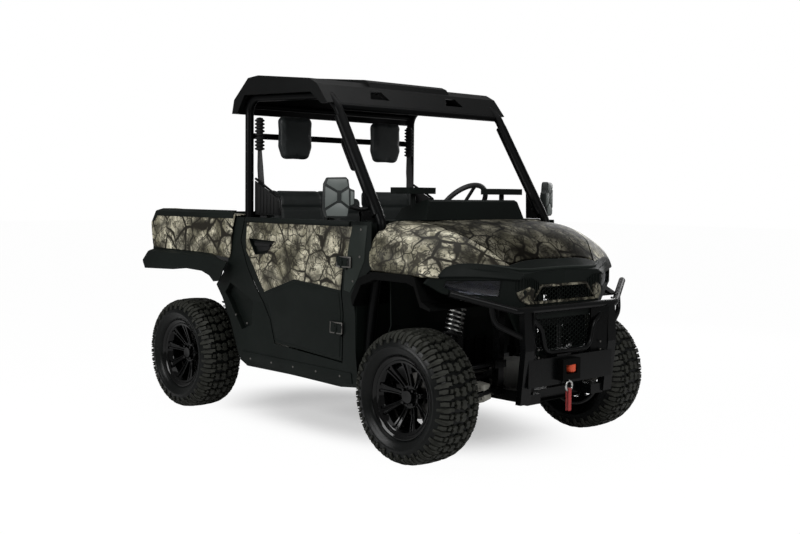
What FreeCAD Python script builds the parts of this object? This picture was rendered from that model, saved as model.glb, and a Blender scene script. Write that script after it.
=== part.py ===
import FreeCAD, Part
import math
import os

# Side by side utility vehicle with an open cab, a tilting cargo bed and a tube bumper.
# Lengths are millimetres. The front faces -Y, the driver sits on the +X side, +Z is up.
# The origin lies on the ground under the middle of the length and width.
# Tables whose names end in shares are places. Across they follow half_width and up they follow
# belt_height. Along, 0 is the front axle and 1 the rear axle, -1 the front end and 2 the rear end.

Vector = FreeCAD.Vector
os.makedirs("parts", exist_ok=True)

# Driving sizes
wheelbase = 1930.0
front_overhang = 460.0
rear_overhang = 480.0
front_axle_y = -975.0
track = 1321.0
half_width = 720.0
belt_height = 1160.0

# Fits and gaps
seat_gap = 0.3
running_gap = 0.05
shut_gap = 8.0
cowl_gap = 24.0
overrun = 40.0
full_turn = 360.0

# Wheels
tyre_radius = 328.0
tyre_width = 261.0
tyre_wall = 12.0
lug_height = 14.0
lug_length = 27.0
lug_pitches = 34
lug_span = 128.0
lug_profile = [(0.40, 1.35), (0.40, 0.02), (0.81, 0.48), (0.995, 3.20), (0.92, 3.10), (0.82, 1.90)]
far_lug_phase = 0.50
middle_lug_phase = 0.25
middle_lug_profile = [(-0.20, 1.30), (-0.20, 0.00), (0.20, 0.00), (0.20, 1.30)]
crown_drop = 6.0
shoulder_in = 20.0
rim_radius = 178.0
rim_width = 196.0
rim_lip = 15.0
rim_lip_width = 7.0
rim_wall = 6.0
rim_drop = 17.0
hub_radius = 56.0
hub_inset = 12.0
dish_outset = 62.0
disc_thickness = 22.0
spoke_count = 9
window_share = 0.50
spindle_radius = 22.0
spindle_reach = 34.0
cap_radius = 34.0
cap_height = 12.0

# Steering
kingpin_offset = 35.0
knuckle_half_height = 78.0
knuckle_depth = 40.0
knuckle_width = 30.0
stud_radius = 10.0
stud_length = 26.0
eye_radius = 22.0
steer_arm_length = 92.0
steer_arm_thickness = 14.0
steer_arm_width = 28.0
rod_end_radius = 14.0
rod_end_height = 16.0
tie_rod_radius = 8.0
rack_radius = 12.0
rack_height = 374.0
rack_half_length = 285.0

# Frame
skid_height = 285.0
skid_thickness = 6.0
rail_outer_x = 245.0
rail_width = 50.0
rail_depth = 50.0
post_width = 40.0
tower_half_spread = 140.0
sill_inset = 95.0
sill_radius = 18.0
outrigger_radius = 15.0
deck_rail_top = 815.0
hinge_pin_radius = 10.0
member_width = 44.0
tower_front_top = 815.0
nose_post_top = 700.0
hitch_outer = 64.0
hitch_inner = 51.0
hitch_pin_inset = 115.0
hitch_pin_radius = 8.0
rail_front_share = -0.7174
rail_rear_share = 1.5625
member_shares = [-0.6522, 0.0477, 0.2176, 0.4663, 0.7280, 0.8808, 1.5000]
sill_end_shares = [0.1995, 0.7383]
outrigger_shares = [0.2176, 0.4663, 0.7280]
deck_post_share = 0.7617
deck_front_share = 0.7513
deck_rear_share = 1.4042
hitch_end_share = 2.0000
skid_shares = [
    (0.3333, -0.6522), (0.3333, 0.6995), (0.2500, 1.3542), (-0.2500, 1.3542), (-0.3333, 0.6995),
    (-0.3333, -0.6522), (-0.2361, -0.7609), (0.2361, -0.7609),
]

# Suspension
arm_radius = 13.0
bush_radius = 19.0
bush_half_length = 26.0
bracket_thickness = 6.0
lower_pivot_rise = 12.0
upper_pivot_height = 462.0
shaft_radius = 13.0
boot_radius = 34.0
boot_length = 90.0
boot_neck_radius = 15.6
shaft_end_gap = 21.0
shock_radius = 19.0
shock_rod_radius = 9.0
spring_radius = 33.0
spring_wire = 6.5
spring_turns = 8
spring_steps = 8
spring_sides = 6
spring_length = 200.0
shock_top_x = 365.0
shock_top_z = 790.0
shock_foot_x = 445.0
shock_lug_rise = 19.0
shock_eye_radius = 16.0
shock_eye_half = 18.0

# Drive
case_half_width = 95.0
case_height = 120.0
case_rise = 55.0
case_front_length = 150.0
case_rear_length = 170.0
engine_half_width = 180.0
engine_shares = [
    (0.7772, 0.3103), (0.7772, 0.5517), (0.7979, 0.6379), (0.9119, 0.6379), (0.9326, 0.5517),
    (0.9326, 0.3103),
]
muffler_radius = 62.0
muffler_shares = [(-0.2500, 1.3229, 0.4483), (0.2500, 1.3229, 0.4483)]
tail_pipe_radius = 18.0

# Cage
cage_radius = 24.0
cage_bend = 90.0
cross_radius = 17.0
sleeve_radius = 31.0
sleeve_back = 8.0
corner_plate = 8.0
grab_bend = 22.0

# Panels
skin = 6.0
door_thickness = 45.0
hinge_leaf_thickness = 6.0
hinge_leaf_length = 42.0
hinge_half_height = 27.0
hinge_barrel = 8.0
hinge_pin = 4.0
hinge_clear = 5.0
hinge_leaf_inset = 11.2
hinge_web_reach = 12.0
hinge_middle_half = 9.0
hinge_end_gap = 0.4
dash_side_gap = 8.0
side_zone = 121.7
tub_inset = 122.0
roof_inset = 30.0
roof_side_wall = 24.0

cage_shares = [
    (0.8819, 0.7280, 0.2845), (0.8819, 0.7280, 1.5819), (0.8611, 0.3731, 1.5647),
    (0.8681, 0.3316, 1.5043),
    (0.8889, 0.1425, 0.9914), (0.8681, 0.2098, 0.2974),
]
sleeve_ends = [0.08, 0.93]
corner_shares = [(0.1477, 1.0052), (0.2176, 1.0052), (0.2197, 1.1293), (0.1865, 1.1121)]
front_cross_shares = [(0.8639, 0.3394, 1.5103), (-0.8639, 0.3394, 1.5103)]
rear_cross_shares = [(0.8778, 0.7280, 1.5431), (-0.8778, 0.7280, 1.5431)]
headrest_bar_shares = [(0.8778, 0.7280, 1.3966), (-0.8778, 0.7280, 1.3966)]
belt_bar_shares = [(0.8778, 0.7280, 1.0129), (-0.8778, 0.7280, 1.0129)]

# Side section of the body, outer face, from the sill up to the belt
side_section_shares = [
    (0.9583, 0.2155), (0.9722, 0.3448), (0.9722, 0.5948), (0.9903, 0.6724), (1.0028, 0.7759),
    (1.0028, 0.8793), (0.9778, 1.1207),
]
door_shares = [
    (0.2238, 1.0000), (0.6907, 1.0000), (0.7057, 0.8879), (0.6705, 0.7543), (0.6280, 0.6431),
    (0.5762, 0.5164), (0.5554, 0.4121), (0.2632, 0.3793), (0.2591, 0.6897), (0.2435, 0.8276),
]
pillar_shares = [
    (0.1425, 1.0000), (0.2197, 1.0000), (0.2394, 0.8276), (0.2549, 0.6897), (0.2591, 0.3724),
    (0.2073, 0.3724), (0.2109, 0.6586), (0.1798, 0.7405), (0.1503, 0.8276),
]
rocker_shares = [
    (0.1959, 0.2750), (0.2684, 0.2629), (0.4404, 0.2707), (0.7016, 0.2793), (0.7269, 0.2974),
    (0.7269, 0.3681), (0.2073, 0.3681),
]
body_side_shares = [
    (0.1425, 1.0000), (0.7347, 1.0000), (0.7523, 0.8966), (0.7762, 0.7586), (0.8425, 0.6569),
    (0.7772, 0.4828), (0.7269, 0.2974), (0.7016, 0.2793), (0.4404, 0.2707), (0.2684, 0.2629),
    (0.1959, 0.2750), (0.2073, 0.4310), (0.2109, 0.6586), (0.1798, 0.7405), (0.1358, 0.8017),
]
intake_shares = [
    (0.8005, 0.6224), (0.7668, 0.6741), (0.6606, 0.5948), (0.6684, 0.4784), (0.7176, 0.4483),
]
door_axis_shares = [(1.0167, 0.2461, 0.8190), (0.9875, 0.2798, 0.5216)]
handle_shares = [(0.6684, 0.8991), (0.5435, 0.8931), (0.5803, 0.8319), (0.6373, 0.8233)]

# Front skin: sections across at stations along the vehicle, each from the middle outward
skin_station_shares = [0.1425, 0.0674, -0.0435, -0.3261, -0.5109, -0.6522, -0.7870]
skin_section_shares = [
    [
        (0.0000, 1.0069), (0.3472, 1.0069), (0.6250, 1.0017), (0.8611, 0.9845), (0.9639, 0.9293),
        (0.9944, 0.7974),
    ],
    [
        (0.0000, 1.0086), (0.3472, 1.0052), (0.6111, 0.9948), (0.8361, 0.9672), (0.9528, 0.9052),
        (0.9972, 0.7931),
    ],
    [
        (0.0000, 1.0000), (0.3472, 0.9948), (0.5903, 0.9793), (0.7986, 0.9431), (0.9306, 0.8793),
        (0.9944, 0.7888),
    ],
    [
        (0.0000, 0.9621), (0.3333, 0.9569), (0.5556, 0.9379), (0.7472, 0.9009), (0.8819, 0.8517),
        (0.9583, 0.7888),
    ],
    [
        (0.0000, 0.9155), (0.2778, 0.9112), (0.4583, 0.8931), (0.5972, 0.8655), (0.6944, 0.8345),
        (0.7569, 0.7888),
    ],
    [
        (0.0000, 0.8586), (0.2083, 0.8552), (0.3472, 0.8448), (0.4583, 0.8293), (0.5347, 0.8121),
        (0.5903, 0.7828),
    ],
    [
        (0.0000, 0.8069), (0.1667, 0.8052), (0.2778, 0.8017), (0.3611, 0.7966), (0.4167, 0.7897),
        (0.4514, 0.7759),
    ],
]
hood_plan_shares = [
    (-0.5972, 0.1062), (0.5972, 0.1062), (0.6597, -0.0435), (0.5833, -0.3913), (0.4583, -0.6304),
    (0.0000, -0.6565),
    (-0.4583, -0.6304), (-0.5833, -0.3913), (-0.6597, -0.0435),
]
brow_plan_shares = [
    (0.0000, -0.6739), (0.4722, -0.6478), (0.5972, -0.5696), (0.8889, -0.3696), (1.0833, -0.2826),
    (1.0833, -0.9783), (0.0000, -0.9783),
]

hood_axis_shares = (0.1057, 0.9879)
hood_ear_x = 350.0
hood_ear_width = 12.0
hood_ear_radius = 10.0
hood_pin_radius = 4.0

# Front arches
liner_shares = [
    (0.2031, 0.6379), (0.2031, 0.6655), (0.1762, 0.7448), (0.1223, 0.7750), (0.0000, 0.7750),
    (-0.1087, 0.7621),
    (-0.2065, 0.6759), (-0.3478, 0.6552),
]
lip_taper = [0.30, 0.90, 1.00, 1.00, 1.00, 1.00, 0.70, 0.30]
lip_rise = 18.0
lip_drop = 22.0
lip_depth = 10.0
lip_reach = 42.0

# Nose
nose_plan_shares = [
    (0.0000, -0.8087), (0.4028, -0.7870), (0.5000, -0.7000), (0.9097, -0.3587), (0.9792, -0.2174),
]
nose_wall = 16.0
nose_front_shares = [
    (0.0000, 0.8052), (0.3472, 0.7983), (0.4167, 0.7957), (0.5000, 0.8052), (0.5903, 0.8112),
    (0.6944, 0.8207), (0.7639, 0.8207),
    (0.8333, 0.8069), (0.9583, 0.7862), (0.9792, 0.7586), (0.9097, 0.7198), (0.5000, 0.6422),
    (0.3750, 0.4526), (0.0000, 0.4440),
]
lamp_shares = [(0.5444, 0.7698), (0.8889, 0.7724), (0.9056, 0.7483), (0.8333, 0.7190), (0.5556, 0.7000)]
lamp_depth = 60.0
mesh_opening_shares = [(0.2500, 0.7483), (-0.2500, 0.7483), (-0.3542, 0.6681), (0.3542, 0.6681)]
lower_opening_shares = [(0.3403, 0.6034), (-0.3403, 0.6034), (-0.2986, 0.4698), (0.2986, 0.4698)]

grille_depth = 26.0
grille_rim = 12.0
mesh_thickness = 5.0
mesh_inset = 8.0

# Cab
tub_shares = [
    (0.1358, 0.9655), (0.1269, 0.5517), (0.1813, 0.3448), (0.2280, 0.3069), (0.4404, 0.3069),
    (0.4534, 0.5690),
    (0.7062, 0.5517), (0.7062, 0.9914), (0.7021, 0.9914), (0.7021, 0.5621), (0.4497, 0.5793),
    (0.4363, 0.3138),
    (0.2295, 0.3138), (0.1855, 0.3483), (0.1311, 0.5517), (0.1399, 0.9655),
]
dash_shares = [
    (0.1451, 1.0052), (0.2280, 1.0052), (0.2617, 0.9655), (0.2591, 0.8448), (0.2280, 0.7759),
    (0.1503, 0.7759),
]
hump_shares = [(0.5347, 1.0052), (0.4694, 1.0966), (-0.4694, 1.0966), (-0.5347, 1.0052)]
dash_inner_shares = [
    (0.1482, 1.0000), (0.2269, 1.0000), (0.2585, 0.9629), (0.2560, 0.8483), (0.2264, 0.7810),
    (0.2264, 0.7586), (0.1482, 0.7586),
]
hump_inner_shares = [(0.5236, 0.9914), (0.4597, 1.0914), (-0.4597, 1.0914), (-0.5236, 0.9914)]
hump_side_inner_shares = [
    (0.1482, 0.9828), (0.1482, 1.0871), (0.2207, 1.0509), (0.2269, 1.0259), (0.2269, 0.9828),
]
hump_side_shares = [
    (0.1150, 0.9914), (0.1244, 1.0879), (0.1358, 1.0983), (0.2228, 1.0560), (0.2435, 0.9914),
]
cushion_shares = [
    (0.4456, 0.5750), (0.4404, 0.6422), (0.4585, 0.6897), (0.6373, 0.6681), (0.6399, 0.5621),
]
back_shares = [
    (0.6415, 0.6897), (0.6622, 1.1207), (0.6736, 1.1509), (0.7031, 1.1509), (0.7041, 0.5595),
    (0.6425, 0.5629),
]
cushion_edge_shares = [0.0139, 0.7944]
back_edge_shares = [0.1875, 0.8028]
middle_back_share = 0.1694
middle_back_top_share = 1.1121
headrest_front_shares = [
    (0.3278, 1.5129), (0.6611, 1.5129), (0.6833, 1.4828), (0.6528, 1.2931), (0.6278, 1.2776),
    (0.3583, 1.2776), (0.3306, 1.2931), (0.3056, 1.4828),
]
headrest_y_shares = [0.6813, 0.7124]
headrest_arm_x_share = 0.4944

pod_shares = [(0.3472, 0.1503, 1.1216), (0.6139, 0.2228, 1.1500)]
pod_stem_radius = 14.0
belt_x_share = 0.8167
belt_points_shares = [(0.7109, 1.3276), (0.7109, 1.4828)]
belt_low_shares = (0.6487, 0.7155)
belt_boot_radius = 19.0
belt_strap_width = 44.0
belt_strap_thickness = 3.0

# Controls
pedal_shares = [(0.3333, 0.2047, 0.3448), (0.5556, 0.2047, 0.3448)]
pedal_width = 62.0
pedal_height = 78.0
pedal_thickness = 8.0
pedal_arm_radius = 7.0
wheel_hub_shares = (0.4722, 0.3420, 1.0586)
wheel_rake = 40.0
wheel_ring_radius = 165.0
wheel_grip_radius = 15.0
wheel_boss_radius = 42.0
wheel_boss_height = 26.0
wheel_shaft_radius = 10.0
wheel_spoke_radius = 10.0
stalk_radius = 9.0
wheel_shaft_length = 60.0
column_radius = 24.0
column_length = 300.0

# Roof
roof_top_shares = [
    (0.7772, 1.5043), (0.7668, 1.5707), (0.6969, 1.6707), (0.6477, 1.6776), (0.4145, 1.6397),
    (0.3808, 1.6121), (0.3368, 1.5241),
]
roof_under_shares = [
    (0.3575, 1.5310), (0.3964, 1.6052), (0.4197, 1.6172), (0.6477, 1.6534), (0.6891, 1.6466),
    (0.7523, 1.5586), (0.7617, 1.5043),
]
roof_side_shares = [
    (0.7772, 1.5043), (0.7668, 1.5707), (0.6969, 1.6707), (0.6477, 1.6776), (0.4145, 1.6397),
    (0.3808, 1.6121), (0.3368, 1.5241),
    (0.3627, 1.5216), (0.4093, 1.5776), (0.7150, 1.5905), (0.7513, 1.5043),
]
crown_side_shares = [
    (0.3845, 1.6103), (0.3959, 1.6431), (0.4145, 1.6560), (0.6477, 1.6897), (0.6850, 1.6845),
    (0.6995, 1.6638), (0.6477, 1.6690),
    (0.4197, 1.6310),
]
crown_front_shares = [(0.4583, 1.3793), (0.4167, 1.6966), (-0.4167, 1.6966), (-0.4583, 1.3793)]
visor_slot_shares = [(0.3472, 1.5948), (0.4583, 1.5948), (0.5000, 1.5569), (0.3056, 1.5569)]

# Bed
bed_tub_front_share = 0.7617
bed_tub_rear_share = 1.7396
bed_floor_share = 0.7517
bed_tub_top_share = 1.0043
bed_inset = 108.0
bed_wall = 8.0
bed_side_shares = [
    (0.7383, 1.0103), (1.5917, 1.0310), (1.7146, 1.0190), (1.7896, 0.9543), (1.7708, 0.8966),
    (1.7375, 0.8259),
    (1.5833, 0.8216), (0.9016, 0.8155), (0.7617, 0.7966), (0.7523, 0.8276),
]
bed_section_shares = [
    (1.0097, 0.7586), (1.0222, 0.8448), (1.0194, 0.9483), (1.0028, 1.0155), (0.9722, 1.0319),
]
flare_side_shares = [
    (0.7461, 0.7759), (0.8808, 0.8241), (1.5938, 0.8328), (1.7708, 0.8052), (1.8667, 0.7517),
    (1.8042, 0.7086), (1.1250, 0.7172),
    (0.9544, 0.7293), (0.8705, 0.7241), (0.8301, 0.7052), (0.8083, 0.6776), (0.7782, 0.6828),
]
flare_section_shares = [
    (0.8583, 0.7690), (1.0222, 0.8138), (1.0583, 0.8000), (1.0806, 0.7414), (1.0778, 0.6293),
]
tailgate_thickness = 28.0
tailgate_gap = 8.0
tail_lamp_shares = [(0.8889, 0.9655), (0.9889, 0.9655), (0.9889, 0.8276), (0.8889, 0.8276)]
tail_lamp_depth = 22.0
bed_hinge_y_share = 1.4583
bed_hinge_z = 800.0
bed_beam_x = 220.0
bed_beam_width = 50.0
bed_ear_x = 276.0
bed_ear_thickness = 12.0
bed_ear_radius = 24.0
bed_beam_gap = 5.0
gate_hinge_radius = 7.0
gate_knuckle_x = 380.0
gate_knuckle_length = 40.0
gate_barrel_length = 39.1

# Bumper
bumper_top_shares = [
    (0.9444, -0.5043, 0.7250), (0.5333, -0.8696, 0.6483), (-0.5333, -0.8696, 0.6483),
    (-0.9444, -0.5043, 0.7250),
]
bumper_hoop_shares = [(0.6944, -0.7261, 0.6784), (0.6861, -0.7500, 0.6009), (0.4792, -0.8761, 0.5362)]
bumper_low_shares = [
    (0.4444, -0.8522, 0.6422), (0.2861, -0.8630, 0.5647), (0.2389, -0.8630, 0.4603),
    (-0.2389, -0.8630, 0.4603), (-0.2861, -0.8630, 0.5647), (-0.4444, -0.8522, 0.6422),
]
web_plan_shares = [(0.4167, -0.9261), (0.2972, -0.8174), (0.2972, -0.8043), (0.4167, -0.9000)]
web_height_shares = [0.4310, 0.6397]
bumper_radius = 18.0
bumper_thin_radius = 13.0
bumper_bend = 60.0
cheek_shares = [
    (-0.8435, 0.6569), (-0.9087, 0.6483), (-0.9348, 0.4828), (-0.8783, 0.2586), (-0.8087, 0.2586),
    (-0.8652, 0.4828), (-0.8391, 0.6379),
]
cheek_x_shares = [0.4056, 0.5000]
winch_plate_shares = [(0.4583, 0.4440), (-0.4583, 0.4440), (-0.4583, 0.3276), (0.4583, 0.3276)]

bumper_plate = 8.0
stay_y_shares = [-0.8587, -0.7174]

# Winch
fairlead_x_share = -0.0597
fairlead_z_share = 0.3897
fairlead_width = 136.0
fairlead_height = 104.0
fairlead_thickness = 34.0
fairlead_mouth_width = 84.0
fairlead_mouth_height = 44.0
drum_radius = 44.0
drum_half_length = 118.0
hook_z_share = 0.3172
hook_radius = 24.0
hook_wire = 6.0
strap_end_share = 0.2112
strap_width = 22.0
strap_thickness = 3.0

# Mirrors and grab handle
mirror_shares = [
    (-0.1111, 1.0672), (-0.1111, 1.1345), (-0.0750, 1.1414), (-0.0667, 1.1776), (-0.0500, 1.1897),
    (0.0833, 1.1871),
    (0.1056, 1.1595), (0.1111, 1.0534), (0.0917, 1.0164), (-0.0583, 1.0138), (-0.0750, 1.0621),
]
mirror_centre_shares = (1.1236, 0.2140, 0.0000)
mirror_depth = 40.0
mirror_yaw = 25.0
mirror_arm_shares = [(0.8639, 0.1813, 1.0647), (0.9722, 0.1927, 1.0500), (1.1111, 0.2098, 1.0776)]
mirror_arm_radius = 9.0
grab_shares = [
    (0.8750, 0.2824, 1.3707), (0.8333, 0.3316, 1.3578), (0.8333, 0.2860, 1.2284),
    (0.8778, 0.2280, 1.2224),
]


def along(share):
    if share < 0:
        return front_axle_y + share * front_overhang
    if share > 1:
        return front_axle_y + wheelbase + (share - 1) * rear_overhang
    return front_axle_y + share * wheelbase


def up(share):
    return share * belt_height


def out(share):
    return share * half_width


def spot(shares):
    return Vector(out(shares[0]), along(shares[1]), up(shares[2]))


def spots(table):
    return [spot(row) for row in table]


def polygon(points):
    return Part.Face(Part.makePolygon(points + points[:1]))


def side_slab(table, x_low, x_high):
    points = [Vector(x_low, along(a), up(b)) for a, b in table]
    return polygon(points).extrude(Vector(x_high - x_low, 0, 0))


def front_slab(table, y_low, y_high):
    points = [Vector(out(a), y_low, up(b)) for a, b in table]
    return polygon(points).extrude(Vector(0, y_high - y_low, 0))


def plan_slab(table, z_low, z_high):
    points = [Vector(out(a), along(b), z_low) for a, b in table]
    return polygon(points).extrude(Vector(0, 0, z_high - z_low))


def block(x_low, x_high, y_low, y_high, z_low, z_high):
    corner = Vector(x_low, y_low, z_low)
    return Part.makeBox(x_high - x_low, y_high - y_low, z_high - z_low, corner)


def rod(start, end, radius):
    way = end - start
    return Part.makeCylinder(radius, way.Length, start, way)


def flip(shape):
    return shape.mirror(Vector(0, 0, 0), Vector(1, 0, 0))


def both(shape):
    return Part.makeCompound([shape, flip(shape)])


def weld(shapes):
    return shapes[0].fuse(shapes[1:]).removeSplitter()


def bent_tube(points, radius, bend):
    edges = []
    start = points[0]
    for before, corner, after in zip(points, points[1:], points[2:]):
        way_in = (corner - before).normalize()
        way_out = (after - corner).normalize()
        half_turn = way_in.getAngle(way_out) / 2
        reach = bend * math.tan(half_turn)
        first = corner - way_in * reach
        last = corner + way_out * reach
        inward = (way_out - way_in).normalize()
        middle = corner + inward * (bend / math.cos(half_turn) - bend)
        edges.append(Part.makeLine(start, first))
        edges.append(Part.Arc(first, middle, last).toShape())
        start = last
    edges.append(Part.makeLine(start, points[-1]))
    ring = Part.Wire(Part.makeCircle(radius, points[0], points[1] - points[0]))
    return Part.Wire(edges).makePipeShell([ring], True, True)


def band(table, thickness, y_low, y_high):
    # A skin whose outer face follows the table across and up, thickened inward
    outer = [Vector(out(a), y_low, up(b)) for a, b in table]
    inner = [point - Vector(thickness, 0, 0) for point in reversed(outer)]
    return polygon(outer + inner).extrude(Vector(0, y_high - y_low, 0))


def save(name, shape):
    shape.exportStep("parts/" + name + ".step")


front_y = along(0)
rear_y = along(1)
wheel_x = track / 2
axle_z = tyre_radius
front_end_y = front_y - front_overhang
rear_end_y = rear_y + rear_overhang
rail_inner_x = rail_outer_x - rail_width
rail_low = skid_height + skid_thickness
rail_top = rail_low + rail_depth
pin_x = wheel_x - kingpin_offset
tub_half_width = half_width - tub_inset
roof_half_width = half_width - roof_inset
sill_x = half_width - sill_inset
bed_inner_x = half_width - bed_inset
cage_x = out(cage_shares[0][0])
winch_plate_y = front_end_y + fairlead_thickness


# Wheels, drawn about the X axis with their outer face towards +X
def ring_solid(points):
    return polygon([Vector(u, 0, r) for u, r in points]).revolve(
        Vector(0, 0, 0), Vector(1, 0, 0), full_turn
    )


def lugs():
    reach = math.sqrt(tyre_radius ** 2 - (lug_length / 2) ** 2)
    shoulder = [Vector(lug_span * a, 0, reach - lug_height * b) for a, b in lug_profile]
    middle = [Vector(lug_span * a, 0, reach - lug_height * b) for a, b in middle_lug_profile]
    half_turn = math.degrees(math.asin(lug_length / 2 / tyre_radius))
    made = []
    for number in range(lug_pitches):
        for points, way, phase in (
            (shoulder, 1, 0), (shoulder, -1, far_lug_phase), (middle, 1, middle_lug_phase)
        ):
            start = [Vector(point.x * way, -lug_length / 2, point.z) for point in points]
            piece = polygon(start).extrude(Vector(0, lug_length, 0))
            piece.rotate(
                Vector(0, 0, 0), Vector(1, 0, 0), half_turn + (number + phase) * full_turn / lug_pitches
            )
            made.append(piece)
    return made


def tyre():
    half = tyre_width / 2
    carcass = tyre_radius - lug_height
    seat = rim_radius + seat_gap
    heel = rim_width / 2 - rim_lip_width / 2 - seat_gap
    toe = heel - shoulder_in
    bead_top = rim_radius + rim_lip + rim_wall
    widest = (rim_radius + tyre_radius) / 2
    shoulder_r = carcass - crown_drop
    shoulder_u = half - shoulder_in
    side_r = carcass - crown_drop - shoulder_in
    side_u = half - crown_drop
    outer = []
    for way in (1, -1):
        first = Vector(way * heel, 0, bead_top)
        edge = Vector(way * side_u, 0, side_r)
        outer.append(Part.Arc(first, Vector(way * half, 0, widest), edge).toShape())
        outer.append(Part.makeLine(edge, Vector(way * shoulder_u, 0, shoulder_r)))
        outer.append(Part.makeLine(first, Vector(way * heel, 0, seat)))
        outer.append(Part.makeLine(Vector(way * heel, 0, seat), Vector(way * toe, 0, seat)))
        inner_first = Vector(way * toe, 0, bead_top)
        inner_edge = Vector(way * (side_u - tyre_wall), 0, side_r - tyre_wall)
        inner_mid = Vector(way * (half - tyre_wall), 0, widest)
        outer.append(Part.makeLine(Vector(way * toe, 0, seat), inner_first))
        outer.append(Part.Arc(inner_first, inner_mid, inner_edge).toShape())
    crown = Part.Arc(
        Vector(shoulder_u, 0, shoulder_r), Vector(0, 0, carcass), Vector(-shoulder_u, 0, shoulder_r)
    )
    inner_crown = Part.Arc(
        Vector(side_u - tyre_wall, 0, side_r - tyre_wall),
        Vector(0, 0, carcass - crown_drop - tyre_wall),
        Vector(tyre_wall - side_u, 0, side_r - tyre_wall),
    )
    outer.append(crown.toShape())
    outer.append(inner_crown.toShape())
    face = Part.Face(Part.Wire(Part.__sortEdges__(outer)))
    casing = face.revolve(Vector(0, 0, 0), Vector(1, 0, 0), full_turn)
    return casing.multiFuse(lugs())


def rim():
    edge = rim_width / 2 + rim_lip_width / 2
    lip = rim_width / 2 - rim_lip_width / 2
    seat = lip - shoulder_in - rim_lip_width
    well = seat - rim_drop
    lip_r = rim_radius + rim_lip
    well_r = rim_radius - rim_drop
    half_barrel = [
        (lip, lip_r), (lip, rim_radius), (seat, rim_radius), (well, well_r),
    ]
    barrel = [(edge, lip_r)] + half_barrel
    barrel += [(-u, r) for u, r in reversed(half_barrel)] + [(-edge, lip_r)]
    barrel += [(-edge, lip_r - rim_wall), (-lip, rim_radius - rim_wall), (-seat, rim_radius - rim_wall)]
    barrel += [(-well, well_r - rim_wall), (well, well_r - rim_wall)]
    barrel += [(seat, rim_radius - rim_wall), (lip, rim_radius - rim_wall), (edge, lip_r - rim_wall)]
    shell = ring_solid(barrel)
    root_u = well - disc_thickness
    web_r = well_r - rim_wall / 2
    face_u = dish_outset
    disc = ring_solid([
        (root_u, web_r), (root_u, hub_radius), (face_u - disc_thickness, hub_radius / 2),
        (face_u - disc_thickness, 0), (face_u, 0), (face_u, hub_radius), (well, web_r),
    ])
    window_low = hub_radius + disc_thickness
    window_high = well_r - rim_wall - rim_lip_width
    half_angle = full_turn / 2 / spoke_count * window_share
    window = polygon([
        Vector(-overrun, r * math.sin(math.radians(a)), r * math.cos(math.radians(a)))
        for r, a in (
            (window_low, -half_angle / 2), (window_high, -half_angle),
            (window_high, half_angle), (window_low, half_angle / 2),
        )
    ]).extrude(Vector(dish_outset + overrun + overrun, 0, 0))
    step = full_turn / spoke_count
    windows = []
    for number in range(spoke_count):
        cut = window.copy()
        cut.rotate(Vector(0, 0, 0), Vector(1, 0, 0), number * step)
        windows.append(cut)
    disc = disc.cut(Part.makeCompound(windows))
    hub = rod(Vector(-hub_inset, 0, 0), Vector(dish_outset, 0, 0), hub_radius)
    cap = rod(
        Vector(dish_outset - cap_height, 0, 0), Vector(dish_outset + cap_height, 0, 0), cap_radius
    )
    bore_end = spindle_reach + seat_gap + bracket_thickness
    bore = rod(Vector(-hub_inset - overrun, 0, 0), Vector(bore_end, 0, 0), spindle_radius + running_gap)
    return weld([shell, disc, hub, cap]).cut(bore)


tyre_shape = tyre()
rim_shape = rim()
for side_name, side in (("left", 1), ("right", -1)):
    for end_name, axle_y in (("front", front_y), ("rear", rear_y)):
        place = Vector(wheel_x, axle_y, axle_z)
        for kind, shape in (("tyre", tyre_shape), ("rim", rim_shape)):
            piece = shape.translated(place)
            save(kind + "_" + end_name + "_" + side_name, piece if side > 0 else flip(piece))


# Front knuckles turn on their two studs in the eyes of the arms
def hub_core(half_height):
    inner_x = pin_x - knuckle_width / 2
    outer_x = pin_x + knuckle_width / 2
    body = block(
        inner_x, outer_x, -knuckle_depth / 2, knuckle_depth / 2, axle_z - half_height,
        axle_z + half_height
    )
    spindle = rod(Vector(pin_x, 0, axle_z), Vector(wheel_x + spindle_reach, 0, axle_z), spindle_radius)
    face_x = wheel_x - hub_inset - seat_gap
    flange = rod(Vector(pin_x, 0, axle_z), Vector(face_x, 0, axle_z), hub_radius)
    return [body, spindle, flange]


def knuckle():
    pieces = hub_core(knuckle_half_height)
    for way in (1, -1):
        start = Vector(pin_x, 0, axle_z)
        end = Vector(pin_x, 0, axle_z + way * (knuckle_half_height + stud_length))
        pieces.append(rod(start, end, stud_radius))
    arm_top = axle_z
    pieces.append(block(
        pin_x - steer_arm_width / 2, pin_x + steer_arm_width / 2, 0,
        steer_arm_length + steer_arm_width / 2, arm_top - steer_arm_thickness, arm_top
    ))
    return weld(pieces).translated(Vector(0, front_y, 0))


knuckle_shape = knuckle()
save("knuckle_left", knuckle_shape)
save("knuckle_right", flip(knuckle_shape))

rack_y = front_y + steer_arm_length
rod_end_z = axle_z + seat_gap


def rack():
    bar = rod(
        Vector(-rack_half_length, rack_y, rack_height), Vector(rack_half_length, rack_y, rack_height),
        rack_radius
    )
    link_end = Vector(pin_x, rack_y, rod_end_z + rod_end_height / 2)
    link = rod(Vector(rack_half_length - rack_radius, rack_y, rack_height), link_end, tie_rod_radius)
    eye = rod(
        Vector(pin_x, rack_y, rod_end_z), Vector(pin_x, rack_y, rod_end_z + rod_end_height),
        rod_end_radius
    )
    end = weld([link, eye])
    return weld([bar, end, flip(end)])


save("steering_rack", rack())


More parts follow.
